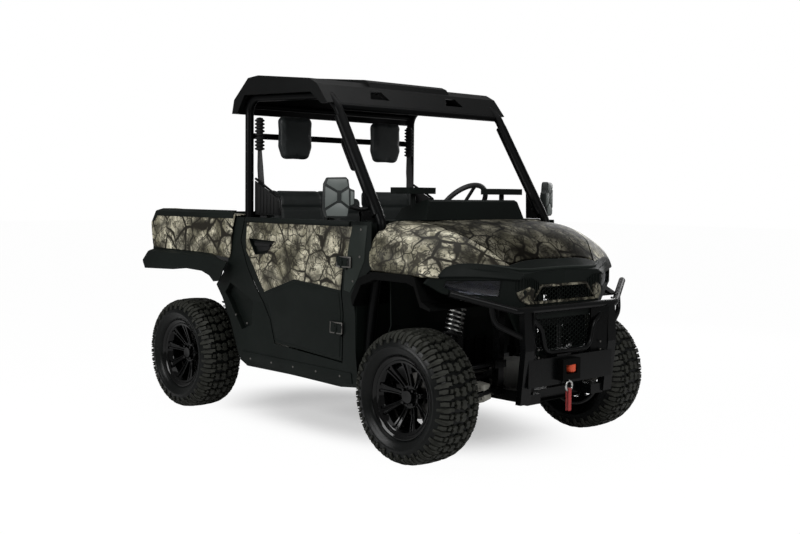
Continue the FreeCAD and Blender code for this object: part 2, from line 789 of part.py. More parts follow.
# Frame rails, cross members, towers and bed deck
def arm_feet(axle_y, pivot_z, spread):
    # Clevis plates either side of each rubber bush, on the rail or tower side
    plates = []
    for way in (1, -1):
        pivot_y = axle_y + way * spread
        half = bush_half_length + seat_gap + bracket_thickness
        plates.append(block(
            rail_outer_x - bracket_thickness, rail_outer_x, pivot_y - half, pivot_y + half,
            pivot_z - bush_radius, pivot_z + bush_radius
        ))
        for face in (1, -1):
            low = pivot_y + face * (bush_half_length + seat_gap)
            high = low + face * bracket_thickness
            plates.append(block(
                rail_inner_x + bracket_thickness, rail_outer_x + 2 * bush_radius, min(low, high),
                max(low, high),
                pivot_z - bush_radius, pivot_z + bush_radius
            ))
    return plates


lower_pivot_z = rail_low + rail_depth / 2 + lower_pivot_rise


def ladder():
    left = []
    left.append(
        block(
            rail_inner_x, rail_outer_x, along(rail_front_share), along(rail_rear_share), rail_low,
            rail_top
        )
    )
    for axle_y in (front_y, rear_y):
        left += arm_feet(axle_y, lower_pivot_z, tower_half_spread)
    left.append(rod(
        Vector(sill_x, along(sill_end_shares[0]), rail_low + rail_depth / 2),
        Vector(sill_x, along(sill_end_shares[1]), rail_low + rail_depth / 2), sill_radius
    ))
    for share in outrigger_shares:
        start = Vector(rail_inner_x, along(share), rail_low + rail_depth / 2)
        left.append(
            rod(start, Vector(sill_x, along(share), rail_low + rail_depth / 2), outrigger_radius)
        )
    pieces = left + [flip(piece) for piece in left]
    for share in member_shares:
        y = along(share)
        pieces.append(
            block(
                -rail_outer_x, rail_outer_x, y - member_width / 2, y + member_width / 2, rail_low,
                rail_top
            )
        )
    return weld(pieces)


# Posts, deck rails and shock heads that stand on the ladder
def towers():
    left = []
    foot = rail_top + seat_gap
    for spread in (-tower_half_spread, tower_half_spread):
        y = front_y + spread
        left.append(block(
            rail_outer_x - post_width, rail_outer_x, y - post_width / 2, y + post_width / 2, foot,
            tower_front_top
        ))
        y = rear_y + spread
        left.append(block(
            rail_outer_x - post_width, rail_outer_x, y - post_width / 2, y + post_width / 2, foot,
            deck_rail_top
        ))
    deck_low = deck_rail_top - post_width
    left.append(block(
        rail_outer_x - post_width, rail_outer_x, along(deck_front_share),
        along(deck_rear_share) + post_width / 2,
        deck_low, deck_rail_top
    ))
    left.append(block(
        rail_outer_x - post_width, rail_outer_x, along(deck_rear_share),
        along(bed_hinge_y_share) + hinge_pin_radius,
        deck_low, bed_hinge_z
    ))
    y = along(deck_post_share)
    left.append(block(
        rail_outer_x - post_width, rail_outer_x, y - post_width / 2, y + post_width / 2, foot,
        deck_rail_top
    ))
    left.append(block(
        rail_outer_x - post_width, rail_outer_x, front_y - tower_half_spread,
        front_y + tower_half_spread,
        tower_front_top - post_width, tower_front_top
    ))
    for axle_y in (front_y, rear_y):
        left += arm_feet(axle_y, upper_pivot_height, tower_half_spread)
        left.append(block(
            0, shock_top_x + shock_radius, axle_y - post_width / 2, axle_y + post_width / 2,
            shock_top_z + shock_eye_radius + seat_gap,
            shock_top_z + shock_eye_radius + seat_gap + bracket_thickness
        ))
    pieces = left + [flip(piece) for piece in left]
    for share in (deck_front_share, deck_rear_share):
        y = along(share)
        pieces.append(block(
            -rail_outer_x, rail_outer_x, y - post_width / 2, y + post_width / 2, deck_low, deck_rail_top
        ))
    hinge_y = along(bed_hinge_y_share)
    pin_end = bed_ear_x + bed_ear_thickness + hinge_pin_radius
    pieces.append(rod(
        Vector(-pin_end, hinge_y, bed_hinge_z), Vector(pin_end, hinge_y, bed_hinge_z), hinge_pin_radius
    ))
    nose_y = along(rail_front_share)
    for x in (-rail_inner_x, rail_inner_x):
        pieces.append(block(
            x - member_width / 2, x + member_width / 2, nose_y, nose_y + member_width, foot,
            nose_post_top
        ))
    pieces.append(block(
        -rail_inner_x, rail_inner_x, nose_y, nose_y + member_width, nose_post_top - member_width,
        nose_post_top
    ))
    return weld(pieces)


# Square receiver tube at the rear, with its pin hole
def hitch():
    tube_low = rail_low
    tube_start = along(member_shares[-1]) + member_width / 2 + seat_gap
    outer = block(
        -hitch_outer / 2, hitch_outer / 2, tube_start, along(hitch_end_share), tube_low,
        tube_low + hitch_outer
    )
    wall = (hitch_outer - hitch_inner) / 2
    hollow = block(
        -hitch_inner / 2, hitch_inner / 2, along(rail_rear_share), along(hitch_end_share) + overrun,
        tube_low + wall, tube_low + wall + hitch_inner
    )
    pin_y = along(hitch_end_share) - hitch_pin_inset
    pin_z = tube_low + hitch_outer / 2
    pin_hole = rod(
        Vector(-hitch_outer, pin_y, pin_z), Vector(hitch_outer, pin_y, pin_z), hitch_pin_radius
    )
    return outer.cut(hollow).cut(pin_hole)


cage_points = spots(cage_shares)


def cage():
    side = bent_tube(cage_points, cage_radius, cage_bend)
    post_top, post_foot = cage_points[3:5]
    sleeve = [
        post_top + (post_foot - post_top) * share + Vector(0, sleeve_back, 0) for share in sleeve_ends
    ]
    plate = side_slab(corner_shares, post_foot.x - corner_plate, post_foot.x)
    side = side.fuse([rod(sleeve[0], sleeve[1], sleeve_radius), plate])
    pieces = [side, flip(side)]
    pieces.append(flip(bent_tube(spots(grab_shares), mirror_arm_radius, grab_bend)))
    for table in (front_cross_shares, rear_cross_shares, headrest_bar_shares, belt_bar_shares):
        first, last = spots(table)
        pieces.append(rod(first, last, cross_radius))
    return weld(pieces)


cage_shape = cage()
ladder_shape = ladder()
towers_shape = towers().cut(ladder_shape).cut(cage_shape)
ladder_shape = ladder_shape.cut(cage_shape)
frame_shape = Part.makeCompound([ladder_shape, towers_shape])
save("chassis_frame", ladder_shape)
save("frame_towers", towers_shape)
save("hitch_receiver", hitch())
save("roll_cage", cage_shape)

save("skid_plate", plan_slab(skid_shares, skid_height, rail_low - seat_gap))


# Suspension, with no joint of its own
def arms(axle_y, turned):
    lower_eye_z = axle_z - knuckle_half_height - stud_length / 2
    upper_eye_z = axle_z + knuckle_half_height + stud_length / 2
    eye_half = stud_length / 2 - seat_gap
    made = []
    for eye_z, pivot_z in ((lower_eye_z, lower_pivot_z), (upper_eye_z, upper_pivot_height)):
        eye = Vector(pin_x, axle_y, eye_z)
        pieces = [rod(eye - Vector(0, 0, eye_half), eye + Vector(0, 0, eye_half), eye_radius)]
        for way in (1, -1):
            pivot = Vector(
                rail_outer_x + bush_radius + seat_gap, axle_y + way * tower_half_spread, pivot_z
            )
            half = Vector(0, bush_half_length, 0)
            pieces.append(rod(pivot - half, pivot + half, bush_radius))
            pieces.append(rod(eye, pivot, arm_radius))
        if eye_z > axle_z:
            share = (shock_foot_x - pivot.x) / (pin_x - pivot.x)
            web_z = pivot_z + share * (eye_z - pivot_z)
            span = tower_half_spread * (1 - share)
            pieces.append(rod(
                Vector(shock_foot_x, axle_y - span, web_z), Vector(shock_foot_x, axle_y + span, web_z),
                arm_radius
            ))
            lug_top = web_z + arm_radius + shock_lug_rise + shock_eye_radius
            for face in (1, -1):
                near = axle_y + face * (shock_eye_half + seat_gap)
                far = near + face * bracket_thickness
                pieces.append(block(
                    shock_foot_x - arm_radius, shock_foot_x + arm_radius, min(near, far),
                    max(near, far), web_z, lug_top
                ))
        arm = weld(pieces)
        if turned:
            reach = math.hypot(knuckle_width / 2, knuckle_depth / 2) + hinge_clear
            swing = rod(
                Vector(pin_x, axle_y, axle_z - knuckle_half_height - seat_gap),
                Vector(pin_x, axle_y, axle_z + knuckle_half_height + seat_gap), reach
            )
            arm = arm.cut(swing)
            hole = rod(
                Vector(pin_x, axle_y, eye_z - overrun), Vector(pin_x, axle_y, eye_z + overrun),
                stud_radius + running_gap
            )
            arm = arm.cut(hole)
        made.append(arm)
    return made


def rear_hub():
    pieces = hub_core(knuckle_half_height + stud_length)
    return weld(pieces).translated(Vector(0, rear_y, 0))


front_arms = arms(front_y, True)
rear_arms = arms(rear_y, False)
all_arms = front_arms + [weld([rear_hub()] + rear_arms)]
save("suspension_arms", Part.makeCompound(all_arms + [flip(arm) for arm in all_arms]))

web_share = (shock_foot_x - rail_outer_x - bush_radius) / (pin_x - rail_outer_x - bush_radius)
upper_eye_z = axle_z + knuckle_half_height + stud_length / 2
web_rise = web_share * (upper_eye_z - upper_pivot_height)
shock_foot_z = upper_pivot_height + web_rise + arm_radius + shock_lug_rise


def shock(axle_y):
    foot = Vector(shock_foot_x, axle_y, shock_foot_z)
    head = Vector(shock_top_x, axle_y, shock_top_z)
    way = (head - foot).normalize()
    length = (head - foot).Length
    collar = foot + way * (length - spring_length - spring_wire)
    pieces = [
        rod(foot + way * (shock_eye_radius + bracket_thickness), collar, shock_radius),
        rod(foot, head, shock_rod_radius),
        rod(collar - way * spring_wire, collar, spring_radius),
        rod(head - way * spring_wire, head - way * spring_wire * 2, spring_radius),
    ]
    for end in (foot, head):
        half = Vector(0, shock_eye_half, 0)
        pieces.append(rod(end - half, end + half, shock_eye_radius))
    return weld(pieces), collar, head - way * spring_wire * 2


def spring(start, end):
    way = end - start
    gap = seat_gap + spring_wire / 2
    length = way.Length - 2 * gap
    radius = spring_radius - spring_wire
    count = spring_turns * spring_steps
    rings = []
    for number in range(count + 1):
        angle = 2 * math.pi * number / spring_steps
        radial = Vector(math.cos(angle), math.sin(angle), 0)
        centre = radial * radius + Vector(0, 0, length * number / count)
        corners = []
        for corner in range(spring_sides):
            turn = 2 * math.pi * corner / spring_sides
            corners.append(
                centre + radial * (math.cos(turn) * spring_wire / 2) + Vector(
                    0, 0, math.sin(turn) * spring_wire / 2
                )
            )
        rings.append(Part.makePolygon(corners + corners[:1]))
    coil = Part.makeLoft(rings, True, True)
    coil.Placement = FreeCAD.Placement(
        start + way.normalize() * gap, FreeCAD.Rotation(Vector(0, 0, 1), way)
    )
    return coil


shocks = []
springs = []
for axle_y in (front_y, rear_y):
    body, low, high = shock(axle_y)
    shocks += [body, flip(body)]
    coil = spring(low, high)
    springs += [coil, flip(coil)]
shocks_shape = Part.makeCompound(shocks)
save("shock_absorbers", shocks_shape)
save("springs", Part.makeCompound(springs))

def half_shaft(axle_y):
    inner = Vector(case_half_width - boot_radius / 2, axle_y, axle_z + case_rise)
    outer = Vector(pin_x - knuckle_width / 2 - shaft_end_gap, axle_y, axle_z)
    way = (outer - inner).normalize()
    pieces = [rod(inner, outer, shaft_radius)]
    for start, heading in ((inner, way), (outer, way * -1)):
        pieces.append(Part.makeCone(boot_radius, boot_neck_radius, boot_length, start, heading))
    shaft = weld(pieces)
    near = case_half_width + seat_gap
    return shaft.cut(block(0, near, axle_y - boot_length, axle_y + boot_length, 0, belt_height))


shafts = []
for axle_y in (front_y, rear_y):
    shaft = half_shaft(axle_y)
    shafts += [shaft, flip(shaft)]
shafts_shape = Part.makeCompound(shafts)
save("half_shafts", shafts_shape)


def gearcase(axle_y, length):
    case = block(
        -case_half_width, case_half_width, axle_y - length / 2, axle_y + length / 2 - post_width,
        skid_height + skid_thickness + seat_gap, axle_z + case_height
    )
    return case.cut(frame_shape)


engine = weld([
    side_slab(engine_shares, -engine_half_width, engine_half_width),
    block(
        -rail_outer_x, rail_outer_x, along(engine_shares[1][0]) + post_width,
        along(engine_shares[4][0]) - post_width,
        rail_top + seat_gap, up(engine_shares[0][1]) + bracket_thickness
    ),
]).cut(frame_shape)
save("powertrain", Part.makeCompound([
    engine, gearcase(front_y, case_front_length), gearcase(rear_y, case_rear_length),
]))

muffler_first, muffler_last = spots(muffler_shares)
pipe_end = Vector(muffler_last.x - overrun, rear_end_y - overrun * 2, muffler_last.z)
pipe_start = Vector(muffler_last.x - overrun, muffler_last.y, muffler_last.z)
manifold_end = Vector(0, along(engine_shares[4][0]) + seat_gap, muffler_last.z)
manifold_start = Vector(0, muffler_last.y, muffler_last.z)
save("muffler", weld([
    rod(muffler_first, muffler_last, muffler_radius),
    rod(pipe_start, pipe_end, tail_pipe_radius),
    rod(manifold_start, manifold_end, tail_pipe_radius),
]))


# Body sides
side_band = band(side_section_shares, skin, along(0), rear_end_y)
thick_band = band(side_section_shares, door_thickness, along(0), rear_end_y)
x_out = half_width + overrun
x_in = half_width - side_zone
door_cut = side_slab(door_shares, x_in, x_out)


def grown(table, margin):
    wire = Part.makePolygon([Vector(0, along(a), up(b)) for a, b in table + table[:1]])
    face = Part.Face(wire.makeOffset2D(margin, 2))
    return face.extrude(Vector(x_out, 0, 0))


door_hole = grown(door_shares, shut_gap)
hinge_points = [Vector(*spot(row)) for row in door_axis_shares]
hinge_way = (hinge_points[0] - hinge_points[1]).normalize()
hinge_turn = FreeCAD.Rotation(Vector(0, 0, 1), hinge_way)


def hinge_parts():
    # Drawn about a vertical axis, leaf on the pillar towards -Y and leaf on the door towards +Y
    low = -hinge_leaf_thickness * 2
    tall = hinge_half_height
    middle = hinge_middle_half
    fixed = [block(low, hinge_leaf_thickness / 2, -hinge_leaf_length, -hinge_leaf_inset, -tall, tall)]
    swung = [block(low, hinge_leaf_thickness / 2, hinge_leaf_inset, hinge_leaf_length, -tall, tall)]
    for way in (1, -1):
        near = way * (middle + hinge_end_gap)
        far = way * tall
        fixed.append(block(
            -hinge_leaf_thickness / 2, hinge_leaf_thickness / 2, -hinge_web_reach, 0, min(near, far),
            max(near, far)
        ))
        fixed.append(rod(Vector(0, 0, near), Vector(0, 0, far), hinge_barrel))
    fixed.append(rod(Vector(0, 0, -tall), Vector(0, 0, tall), hinge_pin))
    swung.append(
        block(-hinge_leaf_thickness / 2, hinge_leaf_thickness / 2, 0, hinge_web_reach, -middle, middle)
    )
    swung.append(rod(Vector(0, 0, -middle), Vector(0, 0, middle), hinge_barrel))
    hole = rod(Vector(0, 0, -tall - overrun), Vector(0, 0, tall + overrun), hinge_pin + running_gap)
    reach = hinge_barrel + hinge_clear
    pocket = block(
        low - hinge_clear, half_width, -hinge_leaf_length - hinge_clear, reach, -tall - hinge_clear,
        tall + hinge_clear
    )
    door_pocket = pocket
    panel_pocket = block(
        low - hinge_clear, half_width, -hinge_leaf_inset, hinge_leaf_length + hinge_clear,
        -tall - hinge_clear, tall + hinge_clear
    )
    return weld(fixed), weld(swung).cut(hole), door_pocket, panel_pocket


def hinge_set():
    sets = []
    for piece in hinge_parts():
        placed = []
        for point in hinge_points:
            copy = piece.copy()
            copy.Placement = FreeCAD.Placement(point, hinge_turn)
            placed.append(copy)
        sets.append(placed)
    return sets


fixed_leaves, swung_leaves, door_pockets, panel_pockets = hinge_set()


def door():
    panel = thick_band.common(door_cut)
    recess = side_slab(handle_shares, half_width - door_thickness / 2, x_out)
    panel = panel.cut(recess)
    for pocket in door_pockets:
        panel = panel.cut(pocket)
    return weld([panel] + swung_leaves)


door_shape = door()
save("door_left", door_shape)
save("door_right", flip(door_shape))


def side_panels():
    skin_piece = side_band.common(side_slab(body_side_shares, x_in, x_out)).cut(door_hole)
    recess = side_slab(intake_shares, x_in, x_out)
    skin_piece = skin_piece.cut(recess)
    pocket = grown(intake_shares, skin / 2).common(
        band(side_section_shares, overrun, along(0), rear_end_y)
    )
    pocket = pocket.cut(side_slab(intake_shares, x_in + skin, x_out).common(
        band(side_section_shares, overrun - skin, along(0), rear_end_y)
    ))
    ledge = block(
        sill_x - sill_radius, out(side_section_shares[0][0]), along(rocker_shares[6][0]),
        along(rocker_shares[5][0]),
        up(rocker_shares[5][1]) - skin, up(rocker_shares[5][1])
    )
    arch = block(
        sill_x, out(side_section_shares[0][0]) + skin, along(pillar_shares[5][0]),
        along(pillar_shares[5][0]) + skin,
        rail_top + skin, up(pillar_shares[6][1]) - skin
    )
    shape = weld([skin_piece, pocket, ledge, arch]).cut(cage_shape).cut(frame_shape)
    for clearance in panel_pockets:
        shape = shape.cut(clearance)
    return weld([shape] + fixed_leaves)


panels = side_panels()
save("side_panels", both(panels))


# Front skin: one lofted sheet, parted into hood and fenders
def section(row, y, drop):
    points = [Vector(out(a), y, up(b) - drop) for a, b in row]
    points = [Vector(-p.x, p.y, p.z) for p in reversed(points[1:])] + points
    curve = Part.BSplineCurve()
    curve.interpolate(points)
    return curve.toShape(), points


def front_skin():
    wires = []
    for share, row in zip(skin_station_shares, skin_section_shares):
        y = along(share)
        top, top_points = section(row, y, 0)
        inner_row = [(a * (1 - skin / half_width), b) for a, b in row]
        under, under_points = section(inner_row, y, skin)
        left = Part.makeLine(top_points[-1], under_points[-1])
        right = Part.makeLine(under_points[0], top_points[0])
        wires.append(Part.Wire([top, left, under, right]))
    return Part.makeLoft(wires, True, False)


skin_shape = front_skin()
hood_low = up(skin_section_shares[0][0][1]) / 2
hood_high = up(skin_section_shares[0][0][1]) + overrun
hood_cut = plan_slab(hood_plan_shares, hood_low, hood_high)
hood_hole_wire = Part.makePolygon([
    Vector(out(a), along(b), hood_low) for a, b in hood_plan_shares + hood_plan_shares[:1]
])
hood_hole = Part.Face(
    hood_hole_wire.makeOffset2D(shut_gap, 2)
).extrude(Vector(0, 0, hood_high - hood_low))
cowl_room = block(
    out(hood_plan_shares[0][0]) - shut_gap, out(hood_plan_shares[1][0]) + shut_gap,
    along(hood_plan_shares[0][1]) - shut_gap, along(hood_plan_shares[0][1]) + cowl_gap, hood_low,
    hood_high
)
hood_hole = hood_hole.fuse(cowl_room)
brow_half = plan_slab(brow_plan_shares, hood_low, hood_high)
brow_cut = weld([brow_half, flip(brow_half)])
brow_shape = skin_shape.common(brow_cut)
fender_shape = skin_shape.cut(brow_cut).cut(hood_hole)


def hood_piece():
    axis_y = along(hood_axis_shares[0])
    axis_z = up(hood_axis_shares[1])
    sheet = skin_shape.common(hood_cut)
    pieces = [sheet]
    for way in (1, -1):
        ear_x = hood_ear_x if way > 0 else -hood_ear_x - hood_ear_width
        pieces.append(rod(
            Vector(ear_x, axis_y, axis_z), Vector(ear_x + hood_ear_width, axis_y, axis_z),
            hood_ear_radius
        ))
    shape = weld(pieces)
    hole = rod(
        Vector(-half_width, axis_y, axis_z), Vector(half_width, axis_y, axis_z),
        hood_pin_radius + running_gap
    )
    return shape.cut(hole)


def hood_bracket():
    axis_y = along(hood_axis_shares[0])
    axis_z = up(hood_axis_shares[1])
    arm_x = hood_ear_x - hood_ear_width - seat_gap
    back_y = along(dash_shares[0][0]) - seat_gap
    arm = block(
        arm_x, arm_x + hood_ear_width, axis_y - hood_pin_radius, back_y,
        axis_z - 2 * hood_pin_radius, axis_z - hood_pin_radius / 2
    )
    riser = block(
        arm_x, arm_x + hood_ear_width, along(tub_shares[0][0]), back_y, up(tub_shares[0][1]) - skin,
        axis_z + hood_pin_radius
    )
    pin = rod(
        Vector(arm_x, axis_y, axis_z),
        Vector(hood_ear_x + hood_ear_width + hood_pin_radius, axis_y, axis_z),
        hood_pin_radius
    )
    return weld([arm, riser, pin])


save("hood", hood_piece())
fender_shape = fender_shape.cut(cage_shape).cut(panels).cut(flip(panels))


# Nose with lamp pockets and two grille openings
def nose():
    half = [Vector(out(a), along(b), 0) for a, b in nose_plan_shares]
    outer = [Vector(-p.x, p.y, p.z) for p in reversed(half[1:])] + half
    inner = [p + Vector(0, nose_wall, 0) for p in reversed(outer)]
    wall = polygon(outer + inner).extrude(Vector(0, 0, belt_height))
    half_front = list(nose_front_shares)
    outline = half_front + [(-a, b) for a, b in reversed(half_front[1:-1])]
    shape = wall.common(front_slab(outline, front_end_y, front_y)).fuse(brow_shape)
    for table in (mesh_opening_shares, lower_opening_shares):
        shape = shape.cut(front_slab(table, front_end_y, front_y))
    lamp_hole = front_slab(lamp_shares, front_end_y, front_y)
    return shape.cut(lamp_hole).cut(flip(lamp_hole))


nose_shape = nose()
save("nose_panel", nose_shape)


# Liners over the front wheels
def liner():
    hub = Vector(0, front_y, axle_z)
    upper = [Vector(0, along(a), up(b)) for a, b in liner_shares]
    under = [point + (hub - point).normalize() * skin for point in reversed(upper)]
    low_x = rail_outer_x + seat_gap
    sheet = polygon(upper + under).translated(Vector(low_x, 0, 0))
    sheet = sheet.extrude(Vector(out(side_section_shares[0][0]) - low_x, 0, 0))
    lifts = [(point - hub).normalize() * share for point, share in zip(upper, lip_taper)]
    crest = [point + lift * lip_rise for point, lift in zip(upper, lifts)]
    foot = [point - lift * lip_drop for point, lift in zip(reversed(upper), reversed(lifts))]
    start = Vector(out(side_section_shares[0][0]) - lip_depth, 0, 0)
    lip = polygon(crest + foot).translated(start).extrude(Vector(lip_depth + lip_reach, 0, 0))
    return weld([sheet, lip])


def lamp():
    middle = [sum(row[i] for row in lamp_shares) / len(lamp_shares) for i in (0, 1)]
    shrink = 1 - seat_gap / lamp_depth
    inner = [
        (middle[0] + (a - middle[0]) * shrink, middle[1] + (b - middle[1]) * shrink)
        for a, b in lamp_shares
    ]
    half = [Vector(out(a), along(b), 0) for a, b in nose_plan_shares]
    front = half[1:]
    back = [p + Vector(0, lamp_depth, 0) for p in reversed(front)]
    slab = polygon(front + back).extrude(Vector(0, 0, belt_height))
    return slab.common(front_slab(inner, front_end_y, front_y))


lamp_shape = lamp()
save("headlights", both(lamp_shape))


def shrunk(table, margin):
    # The outline drawn in by a margin, as shares across and up
    across = max(a for a, b in table)
    heights = [b for a, b in table]
    middle = (max(heights) + min(heights)) / 2
    half = (max(heights) - min(heights)) / 2
    side_scale = 1 - margin / out(across)
    rise_scale = 1 - margin / up(half)
    return [(a * side_scale, middle + (b - middle) * rise_scale) for a, b in table]


grille_front_y = along(nose_plan_shares[0][1])
surround = front_slab(
    shrunk(mesh_opening_shares, seat_gap), grille_front_y, grille_front_y + grille_depth
)
surround = surround.cut(front_slab(shrunk(mesh_opening_shares, grille_rim), front_end_y, front_y))
save("grille_surround", surround)

mesh_low_y = grille_front_y + mesh_inset
upper_mesh = front_slab(
    shrunk(mesh_opening_shares, grille_rim + seat_gap), mesh_low_y, mesh_low_y + mesh_thickness
)
lower_mesh = front_slab(shrunk(lower_opening_shares, seat_gap), mesh_low_y, mesh_low_y + mesh_thickness)
save("grille_mesh", Part.makeCompound([upper_mesh, lower_mesh]))


# Bumper, winch and its hook
def bumper():
    top = bent_tube(spots(bumper_top_shares), bumper_radius, bumper_bend)
    low = bent_tube(spots(bumper_low_shares), bumper_thin_radius, bumper_bend)
    hoop = bent_tube(spots(bumper_hoop_shares), bumper_thin_radius, bumper_bend)
    cheek = side_slab(cheek_shares, out(cheek_x_shares[0]), out(cheek_x_shares[1]))
    stay_x = rail_outer_x
    stay = block(
        stay_x - member_width, out(cheek_x_shares[0]) + bumper_plate, along(stay_y_shares[0]),
        along(stay_y_shares[1]),
        rail_low + seat_gap, rail_top
    )
    web = plan_slab(web_plan_shares, up(web_height_shares[0]), up(web_height_shares[1]))
    half = [hoop, cheek, stay, web]
    pieces = [top, low] + half + [flip(piece) for piece in half]
    plate = front_slab(winch_plate_shares, winch_plate_y, winch_plate_y + bumper_plate)
    pieces.append(plate)
    return weld(pieces)


bumper_shape = bumper().cut(frame_shape).cut(nose_shape)
fairlead_x = out(fairlead_x_share)
fairlead_z = up(fairlead_z_share)
mouth = block(
    fairlead_x - fairlead_mouth_width / 2, fairlead_x + fairlead_mouth_width / 2, front_end_y - overrun,
    winch_plate_y + overrun, fairlead_z - fairlead_mouth_height / 2,
    fairlead_z + fairlead_mouth_height / 2
)
bumper_shape = bumper_shape.cut(mouth)
save("bumper", bumper_shape)
lead = block(
    fairlead_x - fairlead_width / 2, fairlead_x + fairlead_width / 2, front_end_y,
    winch_plate_y - seat_gap,
    fairlead_z - fairlead_height / 2, fairlead_z + fairlead_height / 2
).cut(mouth)
drum_y = winch_plate_y + bumper_plate + seat_gap + drum_radius
winch = weld([
    rod(
        Vector(fairlead_x - drum_half_length, drum_y, fairlead_z),
        Vector(fairlead_x + drum_half_length, drum_y, fairlead_z), drum_radius
    ),
    block(
        fairlead_x - drum_half_length, fairlead_x - drum_half_length / 2, drum_y - drum_radius,
        drum_y + drum_radius,
        fairlead_z - drum_radius, fairlead_z + drum_radius
    ),
])
save("winch", Part.makeCompound([winch.cut(frame_shape).cut(bumper_shape), lead]))

hook_y = front_end_y + fairlead_thickness / 2
hook_centre = Vector(fairlead_x, hook_y, up(hook_z_share))
ring = Part.makeTorus(hook_radius, hook_wire, hook_centre, Vector(0, 1, 0))
shank_top = fairlead_z - fairlead_mouth_height / 2 + overrun / 2
shank = rod(hook_centre + Vector(0, 0, hook_radius), Vector(fairlead_x, hook_y, shank_top), hook_wire)
hook_shape = max(weld([ring, shank]).cut(lead).Solids, key=lambda solid: solid.Volume)
save("winch_hook", hook_shape)
strap_top = hook_centre.z - hook_radius + hook_wire + seat_gap + strap_thickness
strap = block(
    fairlead_x - strap_width / 2, fairlead_x + strap_width / 2,
    hook_y - hook_wire - seat_gap - strap_thickness,
    hook_y - hook_wire - seat_gap, up(strap_end_share), strap_top
)
strap_back = strap.translated(Vector(0, 2 * (hook_wire + seat_gap) + strap_thickness, 0))
strap_bridge = block(
    fairlead_x - strap_width / 2, fairlead_x + strap_width / 2,
    hook_y - hook_wire - seat_gap - strap_thickness,
    hook_y + hook_wire + seat_gap + strap_thickness, strap_top, strap_top + strap_thickness
)
save("pull_strap", weld([strap, strap_back, strap_bridge]).cut(hook_shape))


# Cab floor, dash and controls
def tub():
    shell = side_slab(tub_shares, -tub_half_width, tub_half_width)
    cowl = block(
        -tub_half_width, tub_half_width, along(tub_shares[0][0]), along(dash_shares[0][0]) - seat_gap,
        up(tub_shares[0][1]) - skin, up(tub_shares[0][1])
    )
    bracket = hood_bracket()
    return weld([shell, cowl, bracket, flip(bracket)])


tub_shape = tub().cut(frame_shape).cut(cage_shape)
dash_half_width = tub_half_width - dash_side_gap
dash_shape = side_slab(dash_shares, -dash_half_width, dash_half_width)
hump = front_slab(hump_shares, along(hump_side_shares[0][0]), along(hump_side_shares[-1][0]))
hump = hump.common(side_slab(hump_side_shares, -half_width, half_width))
dash_inside = side_slab(dash_inner_shares, skin - dash_half_width, dash_half_width - skin)
hump_inside = front_slab(
    hump_inner_shares, along(hump_side_shares[0][0]), along(hump_side_shares[-1][0])
)
hump_inside = hump_inside.common(side_slab(hump_side_inner_shares, -half_width, half_width))
dash_shape = weld([dash_shape, hump]).cut(weld([dash_inside, hump_inside]))
wheel_point = spot(wheel_hub_shares)
rake = math.radians(wheel_rake)
wheel_way = Vector(0, math.cos(rake), math.sin(rake))
column_top = wheel_point - wheel_way * (wheel_boss_height / 2 + seat_gap)
column_end = column_top - wheel_way * column_length
column = rod(column_end, column_top, column_radius)
shaft_end = wheel_point - wheel_way * (wheel_boss_height / 2 + wheel_shaft_length)
column = column.cut(
    rod(
        shaft_end - wheel_way * seat_gap, column_top + wheel_way * overrun,
        wheel_shaft_radius + running_gap
    )
)
column_hole = rod(
    column_end - wheel_way * seat_gap, column_top + wheel_way * overrun, column_radius + seat_gap
)
dash_shape = dash_shape.cut(column_hole).cut(tub_shape).cut(fender_shape)
save("cab_tub", tub_shape.cut(column_hole))
fender_shape = fender_shape.cut(tub_shape).cut(nose_shape)
fender_shape = max(fender_shape.Solids, key=lambda solid: solid.Volume)
save("front_fenders", fender_shape)
liner_shape = liner()
for neighbour in (tub_shape, cage_shape, frame_shape, panels, fender_shape, nose_shape, shocks_shape):
    liner_shape = liner_shape.cut(neighbour)
liner_shape = max(liner_shape.Solids, key=lambda solid: solid.Volume)
save("arch_liners", both(liner_shape))
save("steering_column", column)

ring_piece = Part.makeTorus(wheel_ring_radius, wheel_grip_radius, wheel_point, wheel_way)
boss_low = wheel_point - wheel_way * (wheel_boss_height / 2)
boss = Part.makeCylinder(wheel_boss_radius, wheel_boss_height, boss_low, wheel_way)
side_way = Vector(1, 0, 0)
low_way = wheel_way.cross(side_way)
spokes = []
for way in (side_way, side_way * -1, low_way * -1):
    spokes.append(rod(wheel_point, wheel_point + way * wheel_ring_radius, wheel_spoke_radius))
turn_shaft = rod(shaft_end, wheel_point, wheel_shaft_radius)
save("steering_wheel", weld([ring_piece, boss, turn_shaft] + spokes))

pedals = []
for share in pedal_shares:
    foot = spot(share)
    pad = block(
        foot.x - pedal_width / 2, foot.x + pedal_width / 2, foot.y - pedal_thickness, foot.y,
        foot.z + overrun,
        foot.z + overrun + pedal_height
    )
    arm = rod(
        Vector(foot.x, foot.y - pedal_thickness, foot.z + overrun + pedal_height / 2),
        Vector(foot.x, along(tub_shares[2][0]) - overrun, foot.z + overrun + pedal_height / 2),
        pedal_arm_radius
    )
    pedals.append(weld([pad, arm]).cut(tub_shape))
pedals = [max(piece.Solids, key=lambda s: s.BoundBox.YMax) for piece in pedals]
save("pedals", Part.makeCompound(pedals))


# Seats, headrests and belts
def seats():
    low, high = [out(share) for share in cushion_edge_shares]
    piece = side_slab(cushion_shares, low, high)
    cushions = [piece, flip(piece)]
    low, high = [out(share) for share in back_edge_shares]
    back = side_slab(back_shares, low, high)
    middle = side_slab(back_shares, -out(middle_back_share), out(middle_back_share))
    middle = middle.common(block(
        -half_width, half_width, along(back_shares[1][0]) - overrun, rear_end_y, 0,
        up(middle_back_top_share)
    ))
    return cushions, [back, flip(back), middle]


